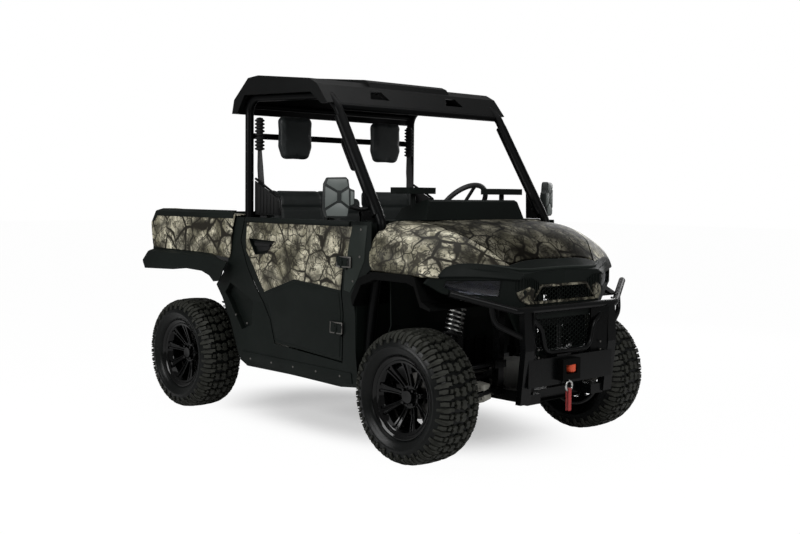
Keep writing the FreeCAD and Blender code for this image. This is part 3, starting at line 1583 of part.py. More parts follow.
cushions, backs = seats()
seat_hold = Part.makeCompound(cushions)
save("seat_cushions", Part.makeCompound([piece.cut(tub_shape) for piece in cushions]))
save("seat_backs", Part.makeCompound([piece.cut(tub_shape).cut(seat_hold) for piece in backs]))
rest_low_y, rest_high_y = [along(share) for share in headrest_y_shares]
rest = front_slab(headrest_front_shares, rest_low_y, rest_high_y)
rest_x = out(headrest_arm_x_share)
bar_point = spot(headrest_bar_shares[0])
stalk = rod(
    Vector(rest_x, rest_high_y - skin, bar_point.z), Vector(rest_x, bar_point.y, bar_point.z),
    stalk_radius
)
rest = weld([rest, stalk]).cut(cage_shape)
save("headrests", both(rest))


def belt():
    x = out(belt_x_share)
    low = Vector(x, along(belt_points_shares[0][0]), up(belt_points_shares[0][1]))
    high = Vector(x, along(belt_points_shares[1][0]), up(belt_points_shares[1][1]))
    boot = rod(low, high, belt_boot_radius)
    foot = Vector(x, along(belt_low_shares[0]), up(belt_low_shares[1]))
    half = belt_strap_width / 2
    points = [
        low + Vector(0, -half, 0), low + Vector(0, half / 2, 0), foot + Vector(0, half, 0),
        foot + Vector(0, -half, 0)
    ]
    strap_piece = polygon(points).extrude(Vector(belt_strap_thickness, 0, 0))
    hanger = block(
        x, cage_x, high.y - skin, high.y + belt_boot_radius, high.z - belt_boot_radius, high.z
    )
    anchor = block(
        x - seat_gap, x + belt_strap_thickness, foot.y - half, foot.y + half, foot.z - overrun, foot.z
    )
    return weld([boot, strap_piece, hanger, anchor]).cut(cage_shape)


belt_shape = belt().cut(seat_hold)
save("seat_belts", both(belt_shape))


# Roof panel
roof_outline = side_slab(roof_top_shares + roof_under_shares, -roof_half_width, roof_half_width)
side_low = roof_half_width - roof_side_wall
roof_side = side_slab(roof_side_shares, side_low, roof_half_width)
crown = side_slab(crown_side_shares, -half_width, half_width).common(
    front_slab(crown_front_shares, front_end_y, rear_end_y)
)
roof_shape = weld([roof_outline, roof_side, flip(roof_side), crown])
slot = front_slab(visor_slot_shares, front_end_y, along(roof_under_shares[2][0]))
roof_shape = roof_shape.cut(slot).cut(flip(slot)).cut(cage_shape)
save("roof", roof_shape)


# Cargo bed
bed_front = along(bed_tub_front_share)
bed_rear = along(bed_tub_rear_share)
bed_floor = up(bed_floor_share)
bed_top = up(bed_tub_top_share)


def bed_tub():
    outer = block(-bed_inner_x, bed_inner_x, bed_front, bed_rear, bed_floor, bed_top)
    inner = block(
        bed_wall - bed_inner_x, bed_inner_x - bed_wall, bed_front + bed_wall, bed_rear + overrun,
        bed_floor + bed_wall, bed_top + overrun
    )
    shell = outer.cut(inner)
    beam_low = deck_rail_top + bed_beam_gap
    beam = block(
        bed_beam_x - bed_beam_width / 2, bed_beam_x + bed_beam_width / 2, bed_front + overrun,
        bed_rear - overrun,
        beam_low, bed_floor
    )
    hinge_y = along(bed_hinge_y_share)
    ear = block(
        bed_ear_x, bed_ear_x + bed_ear_thickness, hinge_y - bed_ear_radius, hinge_y + bed_ear_radius,
        bed_hinge_z, bed_floor
    )
    nose = rod(
        Vector(bed_ear_x, hinge_y, bed_hinge_z),
        Vector(bed_ear_x + bed_ear_thickness, hinge_y, bed_hinge_z), bed_ear_radius
    )
    hole = rod(
        Vector(bed_ear_x - overrun, hinge_y, bed_hinge_z),
        Vector(bed_ear_x + overrun, hinge_y, bed_hinge_z),
        hinge_pin_radius + running_gap
    )
    ear = ear.fuse(nose).cut(hole)
    half = [beam, ear]
    for edge in (gate_knuckle_x, gate_knuckle_x + 2 * gate_knuckle_length):
        knuckle_start = Vector(edge, bed_rear + gate_hinge_radius, gate_axis_z)
        half.append(
            rod(
                knuckle_start, knuckle_start + Vector(gate_knuckle_length - seat_gap, 0, 0),
                gate_hinge_radius * 2
            )
        )
    notch_start = Vector(
        gate_knuckle_x + gate_knuckle_length - seat_gap, bed_rear + gate_hinge_radius, gate_axis_z
    )
    notch = rod(
        notch_start, notch_start + Vector(gate_knuckle_length + seat_gap, 0, 0),
        gate_hinge_radius * 2 + hinge_clear
    )
    shell = shell.cut(notch).cut(flip(notch))
    shape = weld([shell] + half + [flip(piece) for piece in half])
    pin_hole = rod(
        Vector(-bed_inner_x - overrun, bed_rear + gate_hinge_radius, gate_axis_z),
        Vector(bed_inner_x + overrun, bed_rear + gate_hinge_radius, gate_axis_z),
        gate_hinge_radius + running_gap
    )
    return shape.cut(pin_hole)


gate_axis_z = bed_floor + bed_wall - 2 * gate_hinge_radius
bed_tub_shape = bed_tub()
save("bed_tub", bed_tub_shape)


def bed_side():
    skin_piece = band(
        bed_section_shares, skin, front_y, rear_end_y
    ).common(side_slab(bed_side_shares, x_in, x_out))
    top_face = [Vector(bed_inner_x + seat_gap, along(a), up(b)) for a, b in bed_side_shares[:4]]
    under = [point - Vector(0, 0, skin) for point in reversed(top_face)]
    cap = polygon(top_face + under).extrude(Vector(out(bed_section_shares[-1][0]) - bed_inner_x, 0, 0))
    return weld([skin_piece, cap])


cage_room = rod(cage_points[0], cage_points[1], cage_radius + shut_gap)
bed_side_shape = bed_side().cut(bed_tub_shape).cut(cage_room)
save("bed_sides", both(bed_side_shape))


def flare():
    outline = side_slab(flare_side_shares, bed_inner_x + seat_gap, x_out + overrun)
    outer = [Vector(out(a), front_y, up(b)) for a, b in flare_section_shares]
    inner = [point - Vector(skin, 0, skin) for point in reversed(outer)]
    sheet = polygon(outer + inner).extrude(Vector(0, rear_end_y - front_y, 0))
    return sheet.common(outline)


panel_room = grown(body_side_shares, shut_gap).common(block(
    0, out(side_section_shares[4][0]) + shut_gap, along(0), rear_end_y, 0, belt_height
))
flare_shape = flare().cut(bed_side_shape).cut(bed_tub_shape).cut(panel_room)
save("bed_flares", both(flare_shape))

lamp_rear = along(bed_side_shares[3][0])
tail_lamp = front_slab(tail_lamp_shares, lamp_rear - tail_lamp_depth, lamp_rear).cut(bed_side_shape)
save("tail_lamps", both(tail_lamp))

gate_low = bed_floor + gate_hinge_radius * 2 + tailgate_gap
gate_half = bed_inner_x - bed_wall - tailgate_gap
gate_y = bed_rear + tailgate_gap
gate = block(
    -gate_half, gate_half, gate_y, gate_y + tailgate_thickness, gate_low, bed_top + tailgate_gap
)
gate_knuckles = []
for way in (1, -1):
    start_x = gate_knuckle_x + gate_knuckle_length + seat_gap
    centre = Vector(start_x, bed_rear + gate_hinge_radius, gate_axis_z)
    reach = Vector(gate_barrel_length, 0, 0)
    barrel = rod(centre, centre + reach, gate_hinge_radius * 2)
    leaf = block(
        start_x, start_x + reach.x, gate_y + gate_hinge_radius, gate_y + 2 * gate_hinge_radius,
        gate_axis_z, gate_low + gate_hinge_radius
    )
    pin_reach = Vector(gate_knuckle_length, 0, 0)
    pin = rod(centre - pin_reach, centre + pin_reach * 2, gate_hinge_radius)
    piece = weld([barrel, leaf, pin])
    gate_knuckles.append(piece if way > 0 else flip(piece))
save("tailgate", weld([gate] + gate_knuckles))


# Mirrors and the grab handle on the front posts
def mirror():
    body = front_slab(mirror_shares, -mirror_depth / 2, mirror_depth / 2)
    body.rotate(Vector(0, 0, 0), Vector(0, 0, 1), mirror_yaw)
    body = body.translated(spot(mirror_centre_shares))
    arm = bent_tube(spots(mirror_arm_shares), mirror_arm_radius, mirror_arm_radius * 2)
    return weld([body, arm]).cut(cage_shape)


mirror_shape = mirror()
mirror_shape = max(mirror_shape.Solids, key=lambda s: s.Volume)
save("mirrors", both(mirror_shape))

low_corner, high_corner = spots(pod_shares)
pod = block(low_corner.x, high_corner.x, low_corner.y, high_corner.y, low_corner.z, high_corner.z)
pod_mid = low_corner + (high_corner - low_corner) / 2
stem = rod(
    Vector(pod_mid.x, pod_mid.y, up(hump_side_shares[0][1])), Vector(pod_mid.x, pod_mid.y, pod_mid.z),
    pod_stem_radius
)
pod = weld([pod, stem]).cut(column_hole)
save("dash", weld([dash_shape, pod, flip(pod)]))
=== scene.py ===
"""Looks for a side by side utility vehicle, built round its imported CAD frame."""
import math
import random

import bmesh
import bpy
from mathutils import Matrix, Vector


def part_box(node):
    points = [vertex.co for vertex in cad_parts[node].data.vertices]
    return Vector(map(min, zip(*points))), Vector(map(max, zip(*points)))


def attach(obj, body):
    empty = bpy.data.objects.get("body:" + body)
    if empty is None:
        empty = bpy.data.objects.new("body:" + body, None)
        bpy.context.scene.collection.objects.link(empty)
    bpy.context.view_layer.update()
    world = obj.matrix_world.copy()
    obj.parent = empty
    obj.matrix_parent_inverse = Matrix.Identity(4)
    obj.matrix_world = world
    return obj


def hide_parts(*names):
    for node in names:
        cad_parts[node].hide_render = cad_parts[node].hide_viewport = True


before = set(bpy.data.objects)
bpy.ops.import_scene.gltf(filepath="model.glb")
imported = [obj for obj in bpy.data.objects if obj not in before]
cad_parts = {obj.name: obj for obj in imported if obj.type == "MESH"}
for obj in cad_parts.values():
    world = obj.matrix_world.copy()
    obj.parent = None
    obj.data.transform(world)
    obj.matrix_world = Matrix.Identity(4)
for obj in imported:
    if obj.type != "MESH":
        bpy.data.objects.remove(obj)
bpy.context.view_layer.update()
scene = bpy.context.scene

# Places along the vehicle are measured back from the front axle, in metres
AXLE = sum(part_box("tyre_front_left"), Vector()) / 2
REAR = sum(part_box("tyre_rear_left"), Vector()) / 2
SIDES = (("left", 1), ("right", -1))
OUT = Vector((1, 0, 0))
BACK = Vector((0, 1, 0))
UP = Vector((0, 0, 1))


def spot(x, y, z):
    return Vector((x, y + AXLE.y, z))


def at_side(x, outline):
    """The points of a (y, z) outline at one place across the vehicle."""
    return [spot(x, y, z) for y, z in outline]


def at_front(y, outline):
    """The points of an (x, z) outline at one place along the vehicle."""
    return [spot(x, y, z) for x, z in outline]


# ---- Shader helpers


class Nodes:
    """Short calls that add nodes to one tree and link them."""

    def __init__(self, tree):
        self.tree = tree

    def put(self, value, socket):
        """Links an output to the socket, or sets a number, a vector or a colour on it."""
        if hasattr(value, "links"):
            self.tree.links.new(value, socket)
        elif hasattr(value, "__len__"):
            socket.default_value = (*value, 1)[:len(socket.default_value)]
        else:
            socket.default_value = value

    def add(self, kind, inputs=(), **settings):
        """A new node, with pairs of (input, value) put on it."""
        node = self.tree.nodes.new(kind)
        for key, value in settings.items():
            setattr(node, key, value)
        for socket, value in inputs:
            self.put(value, node.inputs[socket])
        return node

    def math(self, operation, first, second=0.0):
        node = self.add("ShaderNodeMath", enumerate((first, second)), operation=operation)
        return node.outputs["Value"]

    def seen(self):
        """One where the camera looks, straight or through a lens."""
        path = self.add("ShaderNodeLightPath")
        return self.math("MAXIMUM", path.outputs["Is Camera Ray"], path.outputs["Is Transmission Ray"])


class Finish(Nodes):
    """A Principled material and short calls that add its detail."""

    def __init__(self, name, color, roughness, **sockets):
        self.material = bpy.data.materials.new(name)
        self.material.use_nodes = True
        super().__init__(self.material.node_tree)
        self.bsdf = self.tree.nodes["Principled BSDF"]
        for socket, value in {"Base Color": color, "Roughness": roughness, **sockets}.items():
            self.put(value, self.bsdf.inputs[socket.replace("_", " ")])
        self.space = self.add("ShaderNodeTexCoord").outputs["Object"]

    def noise(self, scale, detail=3, rough=0.5, warp=0.0, space=None, output="Fac"):
        return self.add("ShaderNodeTexNoise", (
            ("Vector", space or self.space), ("Scale", scale), ("Detail", detail), ("Roughness", rough),
            ("Distortion", warp),
        )).outputs[output]

    def cells(self, scale, feature="F1", space=None):
        inputs = (("Vector", space or self.space), ("Scale", scale))
        return self.add("ShaderNodeTexVoronoi", inputs, feature=feature).outputs["Distance"]

    def warped(self, scale, amount):
        """The object's space, pushed about by noise."""
        inputs = enumerate((self.noise(scale, output="Color"), (amount, amount, amount), self.space))
        return self.add("ShaderNodeVectorMath", inputs, operation="MULTIPLY_ADD").outputs["Vector"]

    def ramp(self, factor, stops):
        """A colour ramp from (place, colour) stops, where a number means a grey."""
        node = self.add("ShaderNodeValToRGB", [("Fac", factor)])
        points = node.color_ramp.elements
        while len(points) < len(stops):
            points.new(0.5)
        for point, (place, color) in zip(points, stops):
            point.position = place
            point.color = (*color, 1) if hasattr(color, "__len__") else (color, color, color, 1)
        return node.outputs["Color"]

    def mix(self, factor, first, second, blend="MIX"):
        # Sockets 6 and 7 are the two colours, and output 2 is the mixed one
        inputs = ((0, factor), (6, first), (7, second))
        return self.add("ShaderNodeMix", inputs, data_type="RGBA", blend_type=blend).outputs[2]

    def color(self, source):
        self.put(source, self.bsdf.inputs["Base Color"])

    def rough(self, factor, low, high):
        self.put(self.ramp(factor, [(0.3, low), (0.7, high)]), self.bsdf.inputs["Roughness"])

    def bump(self, height, strength, distance, edge=0.0):
        node = self.add("ShaderNodeBump", (("Strength", strength), ("Distance", distance), ("Height", height)))
        if edge:
            bevel = self.add("ShaderNodeBevel", [("Radius", edge)], samples=4)
            self.put(bevel.outputs["Normal"], node.inputs["Normal"])
        self.put(node.outputs["Normal"], self.bsdf.inputs["Normal"])


def tint(color, share):
    return tuple(c * share for c in color)


def moulded(name, color, roughness, grain, depth=0.0004, edge=0.003, spread=0.25, shine=0.5, **sockets):
    """Moulded or painted surface: cloudy tone, fine grain, and edges that catch the light."""
    made = Finish(name, color, roughness, Specular_IOR_Level=shine, **sockets)
    made.color(made.ramp(made.noise(2.6, 4), [(0.3, tint(color, 1 - spread)), (0.7, tint(color, 1 + spread))]))
    made.rough(made.noise(7.0, 5, 0.6), roughness * 0.88, min(roughness * 1.12, 1))
    made.bump(made.noise(grain, 2), 0.35, depth, edge)
    return made.material


EARTHS = [
    (0.30, (0.08, 0.074, 0.05)), (0.40, (0.17, 0.158, 0.108)), (0.47, (0.29, 0.272, 0.198)),
    (0.54, (0.52, 0.486, 0.37)), (0.60, (0.34, 0.32, 0.236)), (0.67, (0.64, 0.605, 0.47)),
]


def woodland(name, tone=1.0, shine=0.15):
    """Printed woodland pattern: rounded earth-coloured patches broken by dark branching cracks."""
    made = Finish(name, tint((0.14, 0.13, 0.09), tone), 0.46, Specular_IOR_Level=shine)
    loose = made.warped(5.0, 0.09)
    tight = made.warped(13.0, 0.06)
    patches = made.noise(6.5, 4, 0.55, 0.5, loose)
    earth = made.ramp(patches, [(place, tint(color, tone)) for place, color in EARTHS])
    pebbles = made.ramp(made.cells(10.5, "F1", tight), [(0.06, 1.30), (0.38, 1.00), (0.62, 0.42), (0.74, 0.16)])
    shaded = made.mix(0.92, earth, pebbles, "MULTIPLY")
    mottle = made.ramp(made.noise(90.0, 4, 0.7), [(0.34, 0.66), (0.62, 1.15)])
    leafy = made.mix(1.0, shaded, mottle, "MULTIPLY")
    twig_edge = made.cells(7.5, "DISTANCE_TO_EDGE", loose)
    twig_width = made.ramp(made.noise(5.0, 1), [(0.40, 0.00), (0.68, 0.055)])
    twigs = made.ramp(made.math("SUBTRACT", twig_edge, twig_width), [(0.0, 1.0), (0.035, 0.0)])
    fine_edge = made.cells(21.0, "DISTANCE_TO_EDGE", tight)
    fine_width = made.ramp(made.noise(9.0, 1, 0.5, 0.0, loose), [(0.44, 0.0), (0.72, 0.08)])
    fine = made.ramp(made.math("SUBTRACT", fine_edge, fine_width), [(0.0, 0.85), (0.04, 0.0)])
    ridge = made.math("ABSOLUTE", made.math("SUBTRACT", made.noise(8.0, 5, 0.62, 1.1), 0.5))
    branch = made.ramp(ridge, [(0.006, 0.95), (0.024, 0.0)])
    cracks = made.math("MAXIMUM", branch, made.math("MAXIMUM", twigs, fine))
    made.color(made.mix(cracks, leafy, tint((0.014, 0.012, 0.008), tone)))
    made.rough(made.noise(30.0, 3), 0.40, 0.52)
    made.bump(made.noise(300.0, 2), 0.15, 0.0003, 0.003)
    return made.material


def rubber(name, color, dust, amount, shine, roughness):
    """Tyre rubber with dust that gathers in clouds."""
    made = Finish(name, color, roughness, Specular_IOR_Level=shine)
    cloud = made.ramp(made.noise(22.0, 5, 0.65), [(0.30, amount * 0.35), (0.70, amount)])
    made.color(made.mix(cloud, color, dust))
    made.rough(made.noise(18.0, 4), roughness * 0.88, roughness * 1.15)
    made.bump(made.noise(420.0, 3), 0.4, 0.0005)
    return made.material


def woven(name, color, pitch, roughness=0.75):
    """Webbing: a tight rib with a little sheen."""
    made = Finish(name, color, roughness, Sheen_Weight=0.3, Sheen_Roughness=0.5)
    inputs = (("Vector", made.space), ("Scale", pitch), ("Distortion", 0.6))
    wave = made.add("ShaderNodeTexWave", inputs, bands_direction="DIAGONAL").outputs["Fac"]
    made.color(made.ramp(wave, [(0.2, tint(color, 0.55)), (0.8, color)]))
    made.bump(wave, 0.5, 0.0006)
    return made.material


def vinyl(name, color):
    """Seat cover: pebbled grain with faint creases."""
    made = Finish(name, color, 0.55, Sheen_Weight=0.08)
    crease = made.noise(26.0, 5, 0.7)
    made.color(made.ramp(made.noise(5.0, 3), [(0.3, tint(color, 0.8)), (0.7, tint(color, 1.25))]))
    made.rough(crease, 0.46, 0.62)
    pebbled = made.math("ADD", made.cells(430.0, "SMOOTH_F1"), made.math("MULTIPLY", crease, 0.8))
    made.bump(pebbled, 0.35, 0.0007)
    return made.material


def brushed(name, color, roughness, stretch=(6, 6, 240)):
    """Bare metal with fine drawn lines and small stains."""
    made = Finish(name, color, roughness, Metallic=1.0)
    mapping = made.add("ShaderNodeMapping", (("Vector", made.space), ("Scale", stretch)))
    lines = made.noise(3.0, 4, 0.6, 0.0, mapping.outputs["Vector"])
    made.color(made.ramp(made.noise(16.0, 5, 0.65), [(0.35, tint(color, 0.72)), (0.62, color)]))
    made.rough(lines, roughness * 0.75, min(roughness * 1.35, 1))
    made.bump(lines, 0.15, 0.0003)
    return made.material


def clear(name, color, roughness=0.03):
    """Clear moulded lens with faint haze."""
    made = Finish(name, color, roughness, Transmission_Weight=1.0, IOR=1.45)
    made.rough(made.noise(40.0, 3), roughness * 0.6, roughness * 2.2)
    return made.material


PAINT = (0.0014, 0.0016, 0.0017)
PRINT = woodland("woodland_print")
# Darker copy of the print for the grille surround: painted shade on the front-facing nose.
PRINT_NOSE_PAINTED_SHADE = woodland("woodland_nose_painted_shade", 0.62)
# Darker copy of the print for the hood top: painted shade.
PRINT_PAINTED_SHADE = woodland("woodland_painted_shade", 0.28, 0.03)
PANEL = moulded("panel_black", (0.0042, 0.0062, 0.0052), 0.50, 850, shine=0.10)
# Pale grey for the pillar covers, and a painted highlight on the brow bead.
PALE_PANEL_AND_HIGHLIGHT = moulded("pillar_grey_and_painted_highlight", (0.0115, 0.0155, 0.013), 0.50, 850, shine=0.15)
ROOF_SKIN = moulded("roof_black", (0.0018, 0.0021, 0.0021), 0.40, 700, shine=0.12)
FRAME_PAINT = moulded("frame_paint", PAINT, 0.28, 420, 0.0003, 0.0015, shine=0.15)
CAGE_PAINT = moulded("cage_paint", PAINT, 0.34, 420, 0.0003, 0.0015, shine=0.07)
GLOSS = moulded("wheel_gloss", (0.0008, 0.0009, 0.0009), 0.08, 200, 0.0001, 0.0012, shine=0.24)
CAST = moulded("cast_grey", (0.15, 0.15, 0.14), 0.5, 260, 0.0006, 0.003, 0.15, Metallic=0.6)
CAST_PALE = moulded("cast_pale", (0.42, 0.41, 0.36), 0.55, 260, 0.0006, 0.003, 0.15)
DULL_STEEL = brushed("dull_steel", (0.16, 0.155, 0.145), 0.42)
BRIGHT_STEEL = brushed("bright_steel", (0.62, 0.62, 0.60), 0.26)
MIRROR_GREY = moulded("mirror_grey", (0.014, 0.017, 0.0165), 0.42, 700, shine=0.30)
MIRROR_RIB = moulded("mirror_rib", (0.11, 0.126, 0.119), 0.42, 700)
TYRE = rubber("tyre_rubber", (0.001, 0.0016, 0.0014), (0.0034, 0.004, 0.0036), 0.5, 0.15, 0.30)
TREAD = rubber("tread_rubber", (0.005, 0.0056, 0.0046), (0.036, 0.037, 0.03), 0.8, 0.22, 0.55)
# Darker copy of black plastic for the skid plate, arch liners, winch and shade plate, which sit in shade: painted
# shade.
PAINTED_SHADE_BLACK = moulded("painted_shade_black", (0.0012, 0.0014, 0.0013), 0.60, 500, 0.0005, 0.002, shine=0.06)
SOFT_BLACK = moulded("soft_rubber", (0.005, 0.0052, 0.0052), 0.66, 500, 0.0005, 0.002, shine=0.25)
GRIP = vinyl("wheel_grip", (0.006, 0.006, 0.0065))
VINYL = vinyl("seat_cover", (0.0088, 0.0128, 0.0118))
VINYL_PALE = vinyl("headrest_cover", (0.007, 0.0108, 0.0108))
WEBBING = woven("belt_webbing", (0.0045, 0.0047, 0.005), 260)
RED_WEB = woven("red_webbing", (0.46, 0.012, 0.01), 300)
ORANGE = moulded("orange_stop", (0.62, 0.07, 0.02), 0.45, 300, 0.0004, 0.002, 0.1)
RED_LENS = moulded("red_lens", (0.30, 0.012, 0.01), 0.12, 120, 0.0004, 0.001, 0.2, Coat_Weight=0.6)
GLASS = clear("lamp_cover", (0.20, 0.21, 0.25))
CHROME = brushed("reflector", (0.10, 0.09, 0.15), 0.14, (3, 3, 3))
LAMP_INSIDE = moulded("lamp_housing", (0.004, 0.0044, 0.005), 0.25, 300, 0.0002, 0.001)
MIRROR_GLASS = brushed("mirror_glass", (0.86, 0.88, 0.90), 0.03, (2, 2, 2))

# The finish of each CAD node
CAD_FINISH = (
    (FRAME_PAINT, "chassis_frame frame_towers hitch_receiver suspension_arms shock_absorbers bumper steering_column"),
    (CAGE_PAINT, "roll_cage"),
    # Parts deep in shade get the darker black: painted shade.
    (PAINTED_SHADE_BLACK, "skid_plate arch_liners winch"),
    (SOFT_BLACK, "half_shafts"),
    (BRIGHT_STEEL, "springs winch_hook"),
    (DULL_STEEL, "muffler pedals steering_rack"),
    (CAST, "powertrain knuckle_left knuckle_right"),
    (PANEL, "side_panels nose_panel grille_mesh cab_tub dash bed_tub bed_flares tailgate door_left door_right"),
    (ROOF_SKIN, "roof"),
    (PRINT, "front_fenders bed_sides"),
    (PRINT_NOSE_PAINTED_SHADE, "grille_surround"),
    # The hood gets the darker copy of the print: painted shade on its top.
    (PRINT_PAINTED_SHADE, "hood"),
    (VINYL, "seat_cushions seat_backs"),
    (VINYL_PALE, "headrests"),
    (WEBBING, "seat_belts"),
    (RED_WEB, "pull_strap"),
    (GRIP, "steering_wheel"),
    (MIRROR_GREY, "mirrors"),
    (GLASS, "headlights"),
    (RED_LENS, "tail_lamps"),
    (TYRE, "tyre_front_left tyre_front_right tyre_rear_left tyre_rear_right"),
    (GLOSS, "rim_front_left rim_front_right rim_rear_left rim_rear_right"),
)
for finish, names in CAD_FINISH:
    for name in names.split():
        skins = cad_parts[name].data.materials
        skins.clear()
        skins.append(finish)


# ---- Mesh helpers


def shape(name, bm):
    """A mesh from mesh code, with its faces turned outwards."""
    mesh = bpy.data.meshes.new(name)
    bmesh.ops.recalc_face_normals(bm, faces=bm.faces)
    bm.to_mesh(mesh)
    bm.free()
    return mesh


def commit(name, mesh, material, body, replaced, smooth=38, place=None):
    """Makes a piece of a mesh, or of mesh code, and lets it ride on a body."""
    if isinstance(mesh, bmesh.types.BMesh):
        mesh = shape(name, mesh)
    if not mesh.materials:
        mesh.materials.append(material)
    mesh.shade_smooth()
    mesh.set_sharp_from_angle(angle=math.radians(smooth))
    made = bpy.data.objects.new(name, mesh)
    scene.collection.objects.link(made)
    if place is not None:
        made.matrix_world = place
    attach(made, body)
    if replaced:
        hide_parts(*replaced)
    return made


def join(bm, other):
    spare = bpy.data.meshes.new("spare")
    other.to_mesh(spare)
    other.free()
    bm.from_mesh(spare)
    bpy.data.meshes.remove(spare)


def flip(bm):
    """Turns mesh code over to the other side of the vehicle."""
    bmesh.ops.scale(bm, vec=(-1, 1, 1), verts=bm.verts)
    bmesh.ops.reverse_faces(bm, faces=bm.faces)
    return bm


def piece(material, body="chassis", replaced=(), smooth=38, both=True):
    """Commits what the function below builds, under its name and with its twin on the other side."""
    def run(build):
        bm = bmesh.new()
        build(bm)
        if both:
            join(bm, flip(bm.copy()))
        commit(build.__name__, bm, material, body, replaced, smooth)
        return build
    return run


def whole(bm):
    return bm.verts[:] + bm.edges[:] + bm.faces[:]


def thicken(bm, way):
    """Pushes a sheet along a vector into a closed block."""
    grown = bmesh.ops.extrude_face_region(bm, geom=bm.faces[:])["geom"]
    bmesh.ops.translate(bm, vec=way, verts=[g for g in grown if isinstance(g, bmesh.types.BMVert)])


def soften(bm, width, segments=2, angle=35):
    """Bevels every edge that is sharper than the angle."""
    limit = math.radians(angle)
    edges = [e for e in bm.edges if e.is_manifold and e.calc_face_angle(0) > limit]
    bmesh.ops.bevel(bm, geom=edges, offset=width, segments=segments, profile=0.6, affect="EDGES",
                    clamp_overlap=True)


def prism(bm, points, way, bevel, segments=2):
    """A closed block with soft edges, from an outline pushed along a vector."""
    fresh = bmesh.new()
    base = [fresh.verts.new(p) for p in points]
    top = [fresh.verts.new(p + way) for p in points]
    fresh.faces.new(base)
    fresh.faces.new(list(reversed(top)))
    for i in range(len(points)):
        j = (i + 1) % len(points)
        fresh.faces.new((base[j], base[i], top[i], top[j]))
    bmesh.ops.recalc_face_normals(fresh, faces=fresh.faces)
    soften(fresh, bevel, segments)
    join(bm, fresh)


def loft(bm, rings, caps=True):
    """Skins a row of closed point rings."""
    made = [[bm.verts.new(p) for p in ring] for ring in rings]
    count = len(rings[0])
    for a, b in zip(made, made[1:]):
        for i in range(count):
            j = (i + 1) % count
            bm.faces.new((a[i], a[j], b[j], b[i]))
    if caps:
        bm.faces.new(list(reversed(made[0])))
        bm.faces.new(made[-1])


def turned(bm, profile, steps, centre=Vector(), upright=False):
    """Revolves (along, radius) points about a line through the centre, across the vehicle or upright."""
    made = []
    for step in range(steps):
        a = 2 * math.pi * step / steps
        c, s = math.cos(a), math.sin(a)
        ring = [(r * c, r * s, u) if upright else (u, r * s, r * c) for u, r in profile]
        made.append([bm.verts.new(centre + Vector(p)) for p in ring])
    for k in range(steps):
        a, b = made[k], made[(k + 1) % steps]
        for i in range(len(profile) - 1):
            bm.faces.new((a[i], a[i + 1], b[i + 1], b[i]))
    bmesh.ops.remove_doubles(bm, verts=[v for ring in made for v in ring], dist=1e-6)
    return bm


def spun(bm, profile, steps, place, way):
    """A turned shape with its axis along a vector."""
    fresh = turned(bmesh.new(), profile, steps, Vector(), True)
    turn = UP.rotation_difference(way).to_matrix()
    for v in fresh.verts:
        v.co = place + turn @ v.co
    join(bm, fresh)


def circle(point, across, other, radius, count):
    turns = [2 * math.pi * k / count for k in range(count)]
    return [point + (across * math.cos(t) + other * math.sin(t)) * radius for t in turns]


def tube(bm, points, radius, sides=12):
    """A round tube along a row of points, with one radius or one for each point."""
    rings = []
    across = (points[1] - points[0]).normalized().orthogonal()
    for i, point in enumerate(points):
        way = (points[min(i + 1, len(points) - 1)] - points[max(i - 1, 0)]).normalized()
        across = (across - way * across.dot(way)).normalized()
        r = radius[i] if hasattr(radius, "__len__") else radius
        rings.append(circle(point, across, way.cross(across), r, sides))
    loft(bm, rings)


def bolt(bm, point, way, size, height):
    """A hexagon head with a chamfered top, sunk a little into what it holds."""
    across = way.orthogonal().normalized()
    levels = ((-0.002, 1.0), (height * 0.75, 1.0), (height, 0.82))
    loft(bm, [circle(point + way * lift, across, way.cross(across), size * share, 6) for lift, share in levels])


def curve_value(table, at):
    """Straight-line reading of a table of (place, value) rows."""
    if at <= table[0][0]:
        return table[0][1]
    for (a, u), (b, v) in zip(table, table[1:]):
        if at <= b:
            return u + (v - u) * (at - a) / (b - a)
    return table[-1][1]


def oblong(low_u, high_u, low_z, high_z, inset=0.0):
    """The corners of an upright rectangle."""
    low_u, high_u, low_z, high_z = low_u + inset, high_u - inset, low_z + inset, high_z - inset
    return [(low_u, high_z), (high_u, high_z), (high_u, low_z), (low_u, low_z)]


# ---- Tyres: half of the section as (across, radius), and tread blocks as (along the section, share of a pitch)

TREAD_PITCHES = 34
WALL = [
    (0.00, 0.3135), (0.045, 0.3125), (0.08, 0.3095), (0.101, 0.303), (0.115, 0.293), (0.1235, 0.279),
    (0.1275, 0.262), (0.129, 0.257), (0.1318, 0.253), (0.1325, 0.248), (0.131, 0.2425), (0.127, 0.237),
    (0.1225, 0.227), (0.1175, 0.217), (0.112, 0.21), (0.107, 0.206), (0.103, 0.2045), (0.094, 0.19),
]
LUG_HEIGHT = [(0.0, 1.0), (0.11, 1.0), (0.13, 0.80), (0.15, 0.40)]
LUG_RINGS = ((1.00, -0.15), (0.95, 0.90), (0.90, 1.0))
CENTRE_LUG = [(-0.016, 0.12), (0.003, 0.02), (0.019, 0.26), (0.011, 0.42), (0.019, 0.70), (-0.002, 0.84),
              (-0.02, 0.62), (-0.012, 0.40)]
CENTRE_TURNED = [(-s, a) for s, a in reversed(CENTRE_LUG)]
SIDE_LUGS = (
    ([(0.027, 0.12), (0.048, 0.00), (0.058, 0.26), (0.049, 0.40), (0.056, 0.66), (0.036, 0.78), (0.024, 0.60),
      (0.031, 0.38)], 0.0138),
    ([(0.064, 0.12), (0.079, 0.05), (0.084, 0.42), (0.068, 0.46)], 0.0128),
    ([(0.063, 0.58), (0.086, 0.52), (0.108, 0.54), (0.128, 0.57), (0.148, 0.62), (0.148, 0.86),
      (0.128, 0.92), (0.108, 0.94), (0.086, 0.95), (0.078, 0.84), (0.064, 0.84)], 0.0142),
    ([(0.089, 0.08), (0.108, 0.05), (0.129, 0.10), (0.129, 0.38), (0.108, 0.43), (0.091, 0.41)], 0.013),
)


